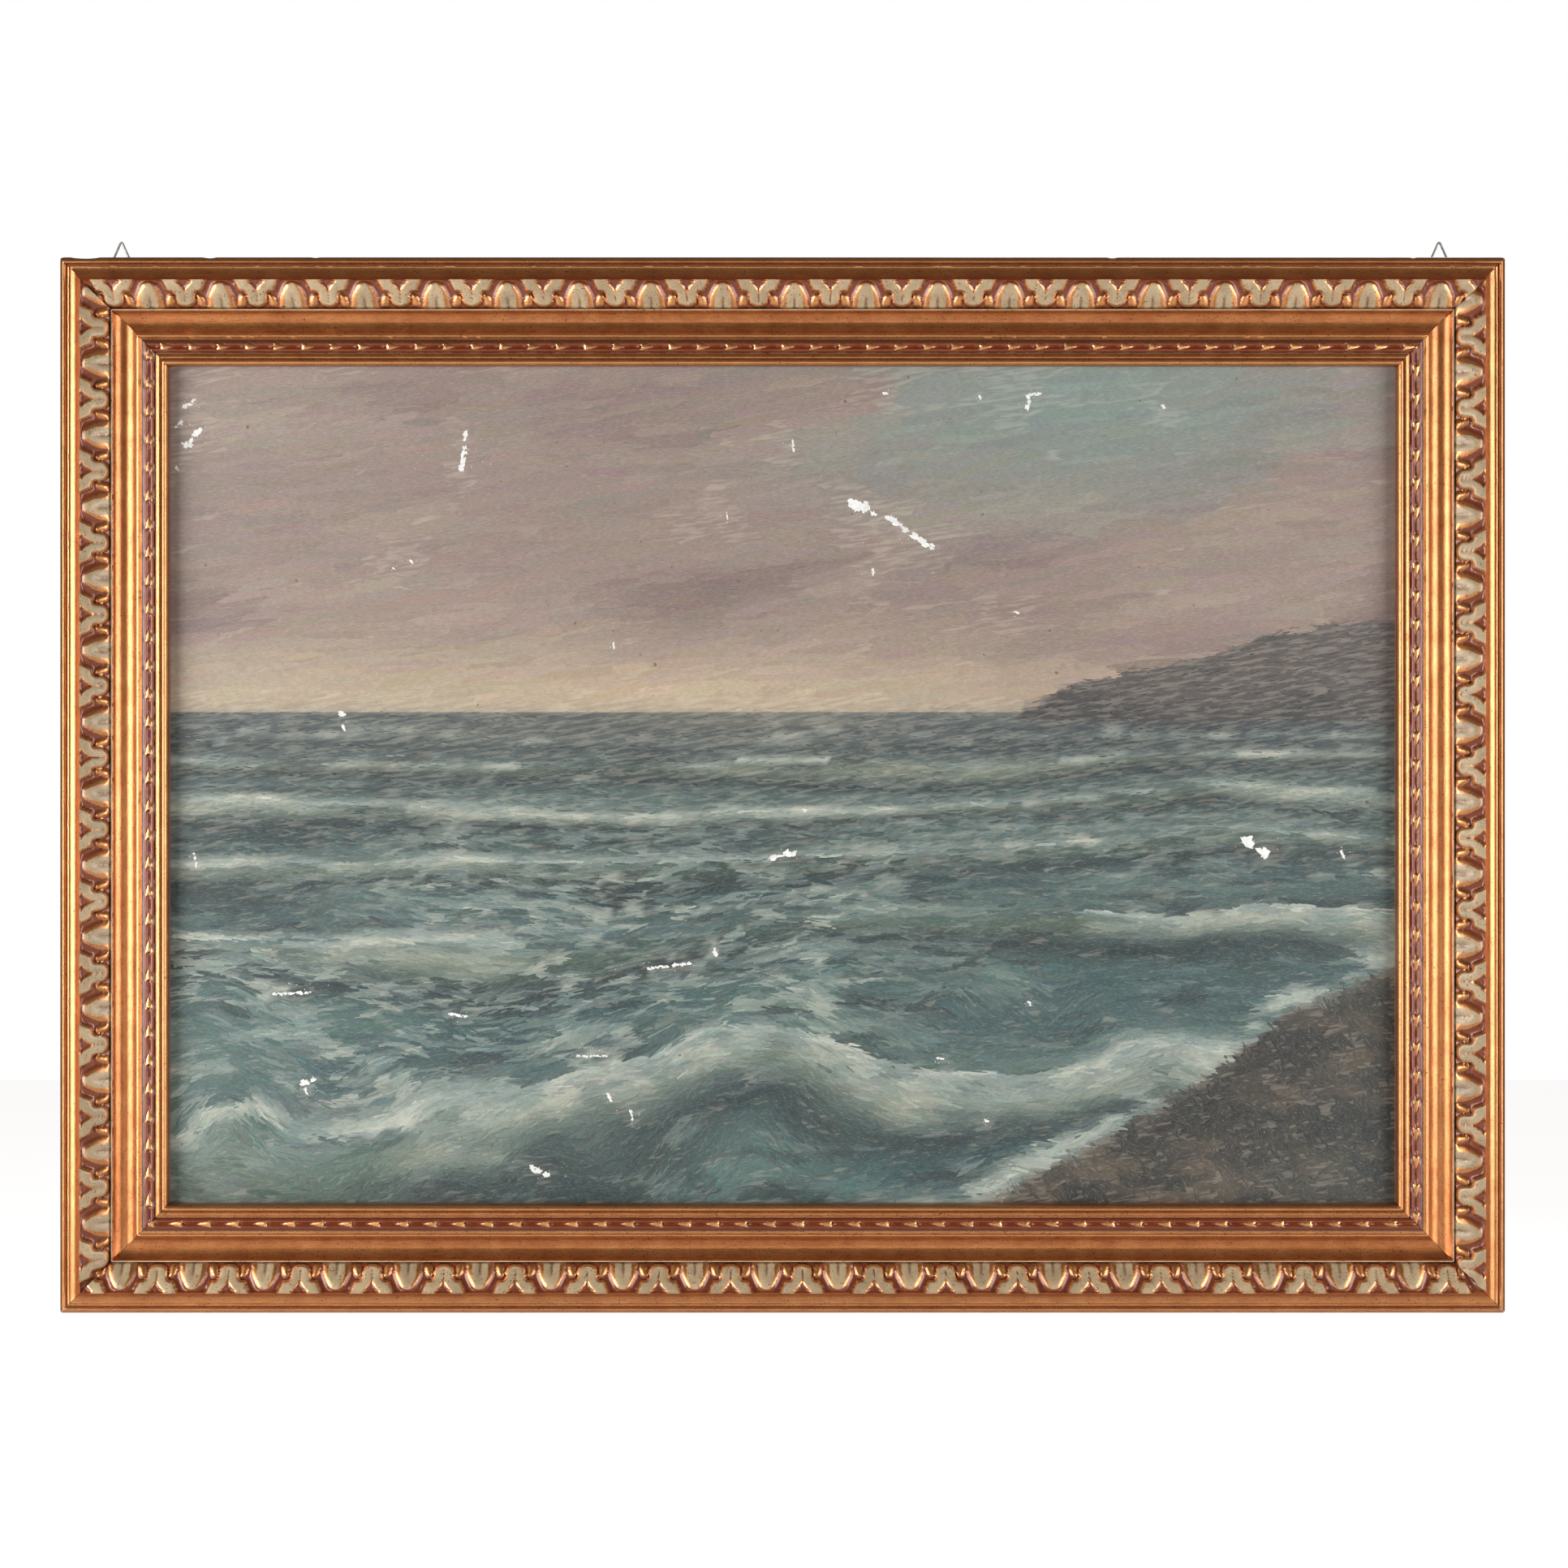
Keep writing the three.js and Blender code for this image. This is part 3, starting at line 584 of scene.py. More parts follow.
def makeGildedFinish():
    material, tree, shader = newMaterial("tonedGilding")
    where = put(tree, "ShaderNodeTexCoord").outputs["Object"]
    layers = attribute(tree, "tones")
    tones = put(tree, "ShaderNodeSeparateColor", {0: layers.outputs["Color"]})
    wash, rub, bole = tones.outputs[0], tones.outputs[1], tones.outputs[2]
    paintedShade = layers.outputs["Alpha"]
    along = attribute(tree, "along").outputs["Fac"]
    inward = attribute(tree, "inward").outputs["Fac"]
    raw = attribute(tree, "raw").outputs["Fac"]
    drawnOut = maths(tree, "MULTIPLY", along, 0.1)
    stretched = put(tree, "ShaderNodeCombineXYZ", {0: drawnOut, 1: inward}).outputs[0]
    cloudy = noise(tree, where, 60, 4, 0.6)
    fine = noise(tree, where, 700, 3, 0.6)
    grit = noise(tree, where, 950, 2, 0.5)
    streak = noise(tree, stretched, 1100, 3, 0.6)
    uneven = maths(tree, "SUBTRACT", fine, 0.5)
    gold = blend(tree, remap(tree, cloudy, 0.3, 0.7), rgb(176, 104, 54), rgb(196, 126, 72))
    gold = blend(tree, remap(tree, streak, 0.45, 0.75, 0, 0.5), gold, rgb(140, 72, 36))
    gold = blend(tree, maths(tree, "MULTIPLY", rub, 0.85, clamp=True), gold, rgb(244, 188, 126))
    boleMask = remap(tree, maths(tree, "ADD", bole, maths(tree, "MULTIPLY", uneven, 0.7)), 0.35, 0.7)
    earth = blend(tree, cloudy, rgb(92, 30, 8), rgb(128, 56, 20))
    color = blend(tree, maths(tree, "MULTIPLY", boleMask, 0.93), gold, earth)
    washMask = remap(tree, maths(tree, "ADD", wash, maths(tree, "MULTIPLY", uneven, 0.9)), 0.4, 0.75)
    grey = blend(tree, remap(tree, cloudy, 0.35, 0.65), rgb(150, 136, 106), rgb(172, 156, 124))
    washed = blend(tree, maths(tree, "MULTIPLY", washMask, 0.85), color, grey)
    speck = remap(tree, grit, 0.6, 0.68)
    speck = maths(tree, "MULTIPLY", speck, remap(tree, noise(tree, where, 90, 2), 0.38, 0.58, 0.35, 1))
    # the fourth tone channel is painted shade in grooves, joints and round the carving; with random dark
    # patches and the dark specks it darkens the surface towards dark brown
    shadeAndDirt = maths(tree, "ADD", paintedShade, maths(tree, "MULTIPLY", uneven, 0.8))
    shadeAndDirt = maths(tree, "MULTIPLY", remap(tree, shadeAndDirt, 0.3, 0.9), 0.85)
    darkened = maths(tree, "MAXIMUM", maths(tree, "MULTIPLY", speck, 0.8), shadeAndDirt)
    washed = blend(tree, darkened, washed, rgb(50, 30, 18))
    timber = blend(tree, remap(tree, streak, 0.3, 0.7), rgb(150, 112, 74), rgb(112, 78, 48))
    final = blend(tree, raw, washed, timber)
    wire(tree, final, shader.inputs["Base Color"])
    underWash = maths(tree, "MULTIPLY", washMask, 0.8)
    covered = maths(tree, "MAXIMUM", underWash, maths(tree, "MULTIPLY", boleMask, 0.75))
    covered = maths(tree, "MAXIMUM", covered, maths(tree, "MAXIMUM", shadeAndDirt, raw))
    bare = maths(tree, "SUBTRACT", 1.0, covered)
    wire(tree, maths(tree, "MULTIPLY", bare, 0.92), shader.inputs["Metallic"])
    roughness = maths(tree, "ADD", 0.26, maths(tree, "MULTIPLY", washMask, 0.2))
    roughness = maths(tree, "ADD", roughness, maths(tree, "MULTIPLY", fine, 0.16))
    roughness = maths(tree, "MAXIMUM", roughness, maths(tree, "MULTIPLY", raw, 0.8))
    wire(tree, roughness, shader.inputs["Roughness"])
    rough = maths(tree, "ADD", maths(tree, "MULTIPLY", fine, 0.6), maths(tree, "MULTIPLY", streak, 0.4))
    tooth = put(tree, "ShaderNodeBump", {"Strength": 0.3, "Distance": 0.0004, "Height": rough})
    wire(tree, tooth.outputs[0], shader.inputs["Normal"])
    shader.inputs["Coat Weight"].default_value = 0.4  # the shellac over the leaf
    shader.inputs["Coat Roughness"].default_value = 0.22
    return material


rails = {  # quarter turns clockwise from the top one, and where each pattern starts, in mm
    "rail_top": {"turns": 0, "leafPhase": 7.6, "arrowPhase": -1.0},
    "rail_right": {"turns": 1, "leafPhase": 10.2, "arrowPhase": 2.0},
    "rail_bottom": {"turns": 2, "leafPhase": 10.3, "arrowPhase": 4.0},
    "rail_left": {"turns": 3, "leafPhase": -4.8, "arrowPhase": 1.4},
}
chips = [  # knocks on the top length's outer edge: middle, half length, depth, in mm
    (-448.0, 9.0, 1.6), (-368.0, 4.0, 1.1), (-300.0, 2.5, 0.7), (212.0, 3.0, 0.8), (405.0, 2.0, 0.6),
]


def wearOuterEdge(mesh, halfLength, knocks):  # round outer corners, and chips in the arris
    count = len(mesh.vertices)
    flat = np.empty(count * 3, np.float32)
    mesh.vertices.foreach_get("co", flat)
    points = flat.reshape(-1, 3)
    radius = moulding["cornerRadius"] * mm
    for side in (-1, 1):
        along = side * points[:, 0] - (halfLength - radius)
        up = points[:, 2] + radius
        far = np.hypot(along, up)
        near = (along > 0) & (up > 0) & (far > radius)
        scale = np.where(near, radius / np.maximum(far, 1e-9), 1)
        points[:, 0] = np.where(near, side * (halfLength - radius + along * scale), points[:, 0])
        points[:, 2] = np.where(near, up * scale - radius, points[:, 2])
    for middle, half, depth in knocks:
        reach = np.clip(1 - np.abs(points[:, 0] / mm - middle) / half, 0, 1) ** 0.5
        edge = np.exp(-(((points[:, 2] / mm) / 1.4) ** 2)) * np.exp(-(((points[:, 1] / mm + 31) / 2.4) ** 2))
        points[:, 1] += reach * edge * depth * mm
        points[:, 2] -= reach * edge * depth * 0.7 * mm
    mesh.vertices.foreach_set("co", points.ravel())


def buildRails():
    section = makeSection()
    leafDie = makeLeafDie()
    arrowDie = makeArrowDie()
    finish = makeGildedFinish()
    tree = makeRailTree()
    for number, (name, rail) in enumerate(rails.items()):
        across = rail["turns"] % 2
        half = halfHigh if across else halfWide
        reach = halfWide if across else halfHigh
        piece = grow(name + "Carved", tree, {
            "Section": section, "Leaf Die": leafDie, "Arrow Die": arrowDie, "Half Length": half,
            "Stations": round(2 * half / mm / moulding["stationStep"]),
            "Mitre Gap": moulding["mitreGap"] * mm,
            "Leaf Repeat": moulding["leafRepeat"] * mm, "Leaf Phase": rail["leafPhase"] * mm,
            "Leaf Outer": moulding["leafOuter"] * mm, "Arrow Repeat": moulding["arrowRepeat"] * mm,
            "Arrow Phase": rail["arrowPhase"] * mm, "Arrow Outer": moulding["arrowOuter"] * mm,
            "Wear": 0.25 * mm, "Seed": 3.7 * number, "Finish": finish,
        })
        wearOuterEdge(piece.data, half, chips if rail["turns"] == 0 else [])
        angle = rail["turns"] * math.pi / 2
        place = Matrix.Translation((math.sin(angle) * reach, 0, centreZ + math.cos(angle) * reach))
        piece.data.transform(place @ Matrix.Rotation(angle, 4, "Y"))
        closeAndFace(piece)
        smooth(piece, 60)
        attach(piece, "root")
        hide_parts(name)
        print(name, len(piece.data.vertices), "vertices")
    for helper in (section, leafDie, arrowDie):
        bpy.data.objects.remove(helper)


buildRails()
print("moulding carved and gilded")

# the painting: a made-up stretch of coast, worked out from noise, in shares of the picture
painting = {"horizon": 0.585, "waves": 7.5, "span": 0.028, "seed": 41, "grid": 4.0, "wall": 1.0, "gain": 0.72}
lattice = np.random.default_rng(painting["seed"]).random((256, 256))


def grain(x, y):
    i = np.floor(x).astype(int)
    j = np.floor(y).astype(int)
    u = x - i
    v = y - j
    u = u * u * (3 - 2 * u)
    v = v * v * (3 - 2 * v)
    near = lattice[i % 256, j % 256] * (1 - u) + lattice[(i + 1) % 256, j % 256] * u
    far = lattice[i % 256, (j + 1) % 256] * (1 - u) + lattice[(i + 1) % 256, (j + 1) % 256] * u
    return near * (1 - v) + far * v


def clouds(x, y, octaves=4, rough=0.5):
    total, weight, sumWeight = 0, 1.0, 0.0
    for octave in range(octaves):
        total = total + weight * grain(x * 2**octave + 17.3 * octave, y * 2**octave + 9.1 * octave)
        sumWeight += weight
        weight *= rough
    return total / sumWeight


def tint(r, g, b):
    return np.array([r, g, b]) / 255


def mix(a, b, amount):
    amount = np.clip(np.asarray(amount), 0, 1)[..., None]
    return a * (1 - amount) + b * amount


def hump(value, middle, width):
    return np.exp(-(((value - middle) / width) ** 2))


def paintSky(x, y):
    high = (y - painting["horizon"]) / (1 - painting["horizon"])
    tilt = y - 0.22 * x
    body = clouds(x * 2.6 + tilt * 2, tilt * 7, 5, 0.55)
    wisps = clouds(x * 7 - tilt * 3 + 5, tilt * 26, 4, 0.6)
    color = mix(tint(196, 177, 152), tint(170, 149, 137), step(0, 0.3, high))
    color = mix(color, tint(158, 139, 130), step(0.2, 0.6, high) * 0.8)
    color = mix(color, tint(172, 157, 144), step(0.55, 1, high) * 0.7)
    heavy = step(0.45, 0.64, body) * (0.3 + 0.7 * step(0.05, 0.3, high)) * (1 - 0.4 * step(0.6, 1, high))
    color = mix(color, tint(143, 121, 116), heavy * 0.9)
    color = mix(color, tint(188, 170, 150), step(0.5, 0.75, wisps) * 0.4)
    opening = np.exp(-(((x - 0.74) / 0.22) ** 2 + ((y - 0.95) / 0.13) ** 2))
    torn = step(0.5, 0.66, clouds(x * 4 + 3.1, tilt * 11 + 1.7, 4, 0.55) + 0.28 * opening)
    color = mix(color, tint(140, 156, 149), torn * opening)
    glow = hump(x, 0.42, 0.26) * np.exp(-((high / 0.12) ** 2))
    color = mix(color, tint(212, 190, 160), glow * 0.75)
    streaks = hump(high, 0.1 + 0.05 * (x - 0.5), 0.03) * step(0.4, 0.6, clouds(x * 3, x * 0 + 2.2, 3))
    return mix(color, tint(206, 168, 148), streaks * 0.5)


def seaPlaces(x, y):  # how near the viewer, and where on the swell
    below = np.clip(painting["horizon"] - y, 0, 1)
    span = painting["span"]
    depth = np.log((below + span) / span) / np.log((painting["horizon"] + span) / span)
    sway = 0.62 * (clouds(x * 2.2 + 4, depth * 4, 3) - 0.5) + 0.3 * (clouds(x * 6, depth * 9 + 3, 3) - 0.5)
    swell = depth * painting["waves"] + 0.7 * x - 0.45 * x * x + sway * 1.6
    return depth, swell


def paintSea(x, y):
    depth, swell = seaPlaces(x, y)
    index = np.floor(swell)
    fall = swell - index  # 0 on a crest, growing towards the viewer
    power = clouds(x * 3.1 + index * 7.7, index * 3.3 + 0.5, 3)
    power = step(0.38, 0.62, power) * step(0.12, 0.35, depth)
    body = clouds(x * 5 + 2, depth * 16, 4, 0.6)
    far = mix(tint(88, 100, 101), tint(60, 74, 79), step(0.35, 0.65, body))
    far = mix(far, tint(120, 122, 114), step(0.58, 0.75, clouds(x * 4 + 11, depth * 40, 3)) * 0.5)
    deep = mix(tint(50, 76, 77), tint(80, 104, 102), step(0.3, 0.7, body))
    near = mix(tint(52, 84, 87), tint(88, 118, 113), step(0.35, 0.7, clouds(x * 6 + 6, depth * 20 + 4, 4)))
    color = mix(far, deep, step(0.22, 0.5, depth))
    color = mix(color, near, step(0.6, 0.95, depth))
    glassy = mix(tint(104, 112, 88), tint(66, 80, 63), step(0.08, 0.26, fall))
    color = mix(color, glassy, hump(fall, 0.17, 0.13) * step(0.2, 0.45, depth) * (0.4 + 0.55 * power))
    color = mix(color, tint(34, 52, 55), hump(fall, 0.36, 0.13) * step(0.15, 0.4, depth) * 0.7)
    color = mix(color, tint(128, 141, 133), step(0.62, 0.95, fall) * 0.42 * (0.4 + 0.6 * body))
    ripple = clouds(x * 22 + swell * 2, depth * 95, 3, 0.6)
    nearer = 0.4 + 0.6 * step(0.2, 0.6, depth)
    color = mix(color, tint(140, 153, 146), step(0.58, 0.78, ripple) * 0.5 * nearer)
    dark = clouds(x * 16 + 8, depth * 70 + swell, 3, 0.6)
    color = mix(color, tint(30, 46, 50), step(0.54, 0.78, dark) * 0.55)
    ragged = clouds(x * 34 + 3, depth * 60, 4, 0.65)
    crest = np.exp(-((np.minimum(fall, 1 - fall) / (0.05 + 0.06 * power)) ** 2))
    foam = crest * step(0.2, 0.55, power + 0.9 * (ragged - 0.5)) * step(0.1, 0.3, depth)
    spill = step(0, 0.05, fall) * (1 - step(0.1, 0.4, fall)) * power
    spill = spill * step(0.4, 0.6, ragged + 0.35 * power - 0.1)
    foam = np.maximum(foam, 0.85 * spill * step(0.3, 0.5, depth))
    wide = 1 - np.abs(2 * clouds(x * 15 + 1.4 * swell, depth * 34 + 2, 4, 0.55) - 1)
    narrow = 1 - np.abs(2 * clouds(x * 26 + 5, depth * 60 + swell, 3, 0.55) - 1)
    laced = step(0.38, 0.6, clouds(x * 2.4 + 9, depth * 6 + 3, 3)) * step(0.35, 0.7, depth)
    foam = np.maximum(foam, laced * np.maximum(0.75 * step(0.86, 0.97, wide), 0.5 * step(0.86, 0.97, narrow)))
    caps = step(0.7, 0.8, clouds(x * 26, depth * 110 + 7, 2))
    caps = caps * step(0.05, 0.2, depth) * (1 - step(0.35, 0.6, depth))
    foam = np.maximum(foam, 0.6 * caps)
    white = mix(tint(148, 164, 158), tint(206, 208, 192), step(0.35, 0.75, ragged))
    color = mix(color, white, foam)
    sheen = hump(x + 0.1 * (ragged - 0.5), 0.42, 0.2) * (1 - step(0.1, 0.4, depth))
    return mix(color, tint(160, 150, 132), 0.35 * sheen), foam


def headland(x):
    rise = 0.066 * step(0.66, 0.8, x) + 0.045 * step(0.8, 0.93, x)
    crags = 0.85 + 0.3 * clouds(x * 14, x * 0 + 8, 4)
    return painting["horizon"] - 0.004 + rise * crags - 0.06 * (1 - step(0.655, 0.7, x))


def shore(x):
    bank = 0.33 * step(0.5, 1.05, x) ** 1.3 - 0.03
    return bank + 0.03 * step(0.55, 0.7, x) * (clouds(x * 17, x * 0 + 3, 4) - 0.5)


def paintLand(x, y):
    edge = shore(x)
    down = np.clip(edge - y, 0, 1)
    rock = clouds(x * 22 + y * 9, y * 30 - x * 8, 4, 0.6)
    cracks = clouds(x * 12 - y * 6 + 4, y * 20 + 2, 4)
    color = mix(tint(50, 49, 44), tint(92, 81, 67), step(0.42, 0.66, rock))
    color = mix(color, tint(30, 33, 34), step(0.48, 0.7, cracks) * 0.8)
    color = mix(color, tint(124, 108, 88), hump(down, 0, 0.014) * 0.6 * step(0.4, 0.6, rock))
    return mix(color, tint(48, 58, 55), step(0.1, 0.25, down) * 0.5), edge


def paintAll(x, y):  # screen colour and how much of it is foam
    horizon = painting["horizon"]
    color, foam = paintSea(x, y)
    color = mix(color, paintSky(x, y), step(-0.0012, 0.0012, y - horizon))
    foam = foam * (y < horizon)
    hill = mix(tint(86, 82, 81), tint(66, 67, 68), step(0.4, 0.7, clouds(x * 18, y * 60, 3)))
    hill = mix(hill, tint(114, 102, 97), step(0, 0.06, y - horizon) * 0.35)
    onHill = step(-0.0015, 0.0015, headland(x) - y) * step(-0.002, 0.002, y - horizon + 0.012)
    color = mix(color, hill, onHill)
    land, edge = paintLand(x, y)
    onLand = step(-0.0025, 0.0025, edge - y)
    color = mix(color, land, onLand)
    broken = step(0.3, 0.55, clouds(x * 30, y * 40, 3)) * step(0.5, 0.6, x)
    wash = hump(y, edge + 0.014, 0.012 + 0.014 * clouds(x * 12, y * 12, 3)) * broken
    color = mix(color, tint(196, 202, 188), wash * 0.85)
    return color, np.maximum(foam * (1 - onLand) * (1 - onHill), wash)


faceY = canvasBox[0][1]
faceLeft, faceRight = canvasBox[0][0], canvasBox[1][0]
faceLow, faceHigh = canvasBox[0][2], canvasBox[1][2]
backY = canvasBox[1][1]


def pictureShares(x, z):
    return (x - faceLeft) / (faceRight - faceLeft), (z - faceLow) / (faceHigh - faceLow)


def paintLook(tree, color, height, shader, sheen):
    where = put(tree, "ShaderNodeTexCoord").outputs["Object"]
    parts = put(tree, "ShaderNodeSeparateXYZ", {0: where})
    warp = maths(tree, "SINE", maths(tree, "MULTIPLY", parts.outputs[0], 2 * math.pi / 0.0009))
    weft = maths(tree, "SINE", maths(tree, "MULTIPLY", parts.outputs[2], 2 * math.pi / 0.00056))
    weave = maths(tree, "MULTIPLY", warp, weft)
    dust = noise(tree, where, 260, 3, 0.6)
    mottled = blend(tree, remap(tree, dust, 0.3, 0.7, 0.0, 0.12), color, rgb(96, 88, 76))
    spots = remap(tree, noise(tree, where, 190, 1, 0.3), 0.775, 0.8)
    final = blend(tree, maths(tree, "MULTIPLY", spots, 0.7), mottled, rgb(96, 72, 48))
    wire(tree, final, shader.inputs["Base Color"])
    wire(tree, remap(tree, dust, 0.2, 0.8, sheen, sheen + 0.16), shader.inputs["Roughness"])
    surface = maths(tree, "ADD", maths(tree, "MULTIPLY", weave, 0.16), height)
    relief = put(tree, "ShaderNodeBump", {"Strength": 0.5, "Distance": 0.0003, "Height": surface})
    wire(tree, relief.outputs[0], shader.inputs["Normal"])


def makeCanvasFinish():
    material, tree, shader = newMaterial("oilOnCanvas")
    where = put(tree, "ShaderNodeTexCoord").outputs["Object"]
    parts = put(tree, "ShaderNodeSeparateXYZ", {0: where})
    drawn = put(tree, "ShaderNodeCombineXYZ", {
        0: maths(tree, "MULTIPLY", parts.outputs[0], 0.14),
        2: maths(tree, "SUBTRACT", parts.outputs[2], maths(tree, "MULTIPLY", parts.outputs[0], 0.15)),
    }).outputs[0]
    bristle = noise(tree, drawn, 420, 4, 0.6, 0.3)
    paint = attribute(tree, "paint").outputs["Color"]
    lighter = blend(tree, remap(tree, bristle, 0.42, 0.62, 0.0, 0.14), paint, rgb(226, 214, 196))
    varied = blend(tree, remap(tree, bristle, 0.38, 0.56, 0.12, 0.0), lighter, rgb(96, 84, 84))
    behind = remap(tree, parts.outputs[1], faceY + 0.0004, faceY + 0.0008)
    fibre = noise(tree, where, 900, 3, 0.6)
    linen = blend(tree, remap(tree, fibre, 0.3, 0.7), rgb(176, 156, 122), rgb(136, 116, 88))
    stain = remap(tree, noise(tree, where, 9, 4, 0.6), 0.5, 0.7, 0.0, 0.5)
    linen = blend(tree, stain, linen, rgb(104, 84, 60))
    paintLook(tree, blend(tree, behind, varied, linen), bristle, shader, 0.42)
    return material


def buildCanvas():
    spacing = painting["grid"] * mm
    columns = round((faceRight - faceLeft) / spacing)
    lines = round((faceHigh - faceLow) / spacing)
    x = np.linspace(faceLeft, faceRight, columns + 1)
    z = np.linspace(faceLow, faceHigh, lines + 1)
    horizon = faceLow + painting["horizon"] * (faceHigh - faceLow)
    nearest = np.argmin(np.abs(z - horizon))  # two rows hug the horizon, so it stays sharp
    z[nearest] = horizon - 0.3 * mm
    z[nearest + 1] = horizon + 0.3 * mm
    gridX, gridZ = np.meshgrid(x, z)
    wall = painting["wall"] * mm
    shareX, shareZ = pictureShares(gridX, gridZ)
    color, _ = paintAll(shareX, shareZ)
    front = np.dstack([gridX, np.full_like(gridX, faceY), gridZ]).reshape(-1, 3)
    middle = np.array([(faceLeft + faceRight) / 2, 0, (faceLow + faceHigh) / 2])
    shrink = np.array([
        1 - 2 * wall / (faceRight - faceLeft), 1, 1 - 2 * wall / (faceHigh - faceLow)
    ])
    back = (front - middle) * shrink + middle
    back[:, 1] = faceY + wall
    wide, high = columns + 1, lines + 1
    faces = []
    for j in range(lines):
        for i in range(columns):
            a = j * wide + i
            faces.append((a, a + 1, a + 1 + wide, a + wide))
            b = a + wide * high
            faces.append((b, b + wide, b + 1 + wide, b + 1))
    border = list(range(wide)) + [j * wide + columns for j in range(1, high)]
    border += [lines * wide + i for i in range(columns - 1, -1, -1)]
    border += [j * wide for j in range(lines - 1, 0, -1)]
    count = 2 * wide * high
    rims = []
    for points in (front, back):
        rim = points[border].copy()
        rim[:, 1] = backY
        rims.append(rim)
    vertices = np.vstack([front, back, rims[0], rims[1]])
    size = len(border)
    for k in range(size):
        n = (k + 1) % size
        outerA, outerB = border[k], border[n]
        innerA, innerB = outerA + wide * high, outerB + wide * high
        lowA, lowB = count + k, count + n
        hemA, hemB = count + size + k, count + size + n
        faces.append((outerB, outerA, lowA, lowB))
        faces.append((innerA, innerB, hemB, hemA))
        faces.append((lowB, lowA, hemA, hemB))
    piece = meshObject("paintedCanvas", vertices, faces)
    linear = toLinear(color.reshape(-1, 3)) * painting["gain"]
    painted = np.ones((len(vertices), 4))
    painted[:, :3] = toLinear(tint(196, 184, 160))
    painted[: wide * high, :3] = linear
    setAttribute(piece.data, "paint", "FLOAT_COLOR", painted)
    piece.data.materials.append(makeCanvasFinish())
    closeAndFace(piece)
    smooth(piece, 30)
    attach(piece, "root")
    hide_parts("canvas")
    return piece


# brush marks, from wide to fine: how many, how large in mm, how far they wander in colour
brushes = [
    {
        "name": "skyBrush", "count": 1500, "length": (34, 62), "width": (7, 12),
        "body": 0.05, "part": "sky", "drift": 0.02,
    },
    {
        "name": "broadBrush", "count": 6200, "length": (15, 30), "width": (3.2, 5.4),
        "body": 0.12, "part": "sea", "drift": 0.05,
    },
    {
        "name": "fineBrush", "count": 7400, "length": (7, 15), "width": (1.3, 2.6),
        "body": 0.18, "part": "sea", "drift": 0.06,
    },
    {
        "name": "foamBrush", "count": 2600, "length": (4.5, 11), "width": (0.9, 2.0),
        "body": 0.24, "part": "foam", "drift": 0.03,
    },
]
bends = [-0.12, -0.05, 0.0, 0.06, 0.13]


def makeMark(bend, number):  # one lens-shaped mark, closed, a unit long and wide
    stations = [(-0.5, 0.0), (-0.34, 0.42), (0.02, 0.5), (0.34, 0.36), (0.5, 0.0)]
    vertices, faces, edge, along = [], [], [], []
    for place, half in stations:
        middle = bend * (1 - (2 * place) ** 2)
        if half == 0:
            vertices.append((place, middle - bend * 0.3, 0))
            edge.append(0)
            along.append((place, 0, 0))
            continue
        for side, lift in ((-1, 0), (0, 1), (1, 0)):
            vertices.append((place, middle + side * half, lift))
            edge.append(lift)
            along.append((place, side * half, 0))
    for a, b in ((1, 2), (2, 3)):
        faces.append((0, b, a))
    faces += [(1, 2, 5, 4), (2, 3, 6, 5), (4, 5, 8, 7), (5, 6, 9, 8), (7, 8, 10), (8, 9, 10)]
    faces.append((0, 1, 4, 7, 10, 9, 6, 3))
    mark = meshObject(f"mark{number}", vertices, faces)
    setAttribute(mark.data, "edge", "FLOAT", edge)
    setAttribute(mark.data, "along", "FLOAT_VECTOR", along)
    work = bmesh.new()
    work.from_mesh(mark.data)
    bmesh.ops.recalc_face_normals(work, faces=work.faces)
    work.to_mesh(mark.data)
    work.free()
    return mark


def makeBrushTree():  # lays a mark on each point, tinted by the point, softened by the paint beneath
    sockets = [("Points", "NodeSocketObject"), ("Canvas", "NodeSocketObject"), ("Body", "NodeSocketFloat")]
    sockets += [(f"Mark {k}", "NodeSocketObject") for k in range(len(bends))]
    tree, given = newGeometryTree("brushwork", sockets + [("Finish", "NodeSocketMaterial")])
    points = put(tree, "GeometryNodeObjectInfo", {"Object": given["Points"]}).outputs["Geometry"]
    marks = put(tree, "GeometryNodeJoinGeometry")
    for k in reversed(range(len(bends))):
        single = put(tree, "GeometryNodeObjectInfo", {"Object": given[f"Mark {k}"], "As Instance": True})
        tree.links.new(single.outputs["Geometry"], marks.inputs[0])
    turn = put(tree, "ShaderNodeCombineXYZ", {0: math.pi / 2, 1: readNamed(tree, "turn", "FLOAT")}).outputs[0]
    size = put(tree, "ShaderNodeSeparateXYZ", {0: readNamed(tree, "size", "FLOAT_VECTOR")})
    scale = {0: size.outputs[0], 1: size.outputs[1], 2: given["Body"]}
    laid = put(tree, "GeometryNodeInstanceOnPoints", {
        "Points": points, "Instance": marks.outputs[0], "Pick Instance": True,
        "Instance Index": readNamed(tree, "kind", "INT"),
        "Scale": put(tree, "ShaderNodeCombineXYZ", scale).outputs[0],
    })
    spin = put(tree, "FunctionNodeEulerToRotation", {0: turn})
    tree.links.new(spin.outputs[0], laid.inputs["Rotation"])
    flat = put(tree, "GeometryNodeRealizeInstances", {0: laid.outputs[0]}).outputs[0]
    beneath = put(tree, "GeometryNodeObjectInfo", {"Object": given["Canvas"]}).outputs["Geometry"]
    paint = readNamed(tree, "paint", "FLOAT_COLOR")
    inputs = {"Mesh": beneath, "Value": paint}
    found = put(tree, "GeometryNodeSampleNearestSurface", inputs, data_type="FLOAT_COLOR")
    flat = storeNamed(tree, flat, "under", "FLOAT_COLOR", found.outputs["Value"])
    flat = put(tree, "GeometryNodeSetMaterial", {"Geometry": flat, "Material": given["Finish"]}).outputs[0]
    put(tree, "NodeGroupOutput", {0: flat})
    return tree


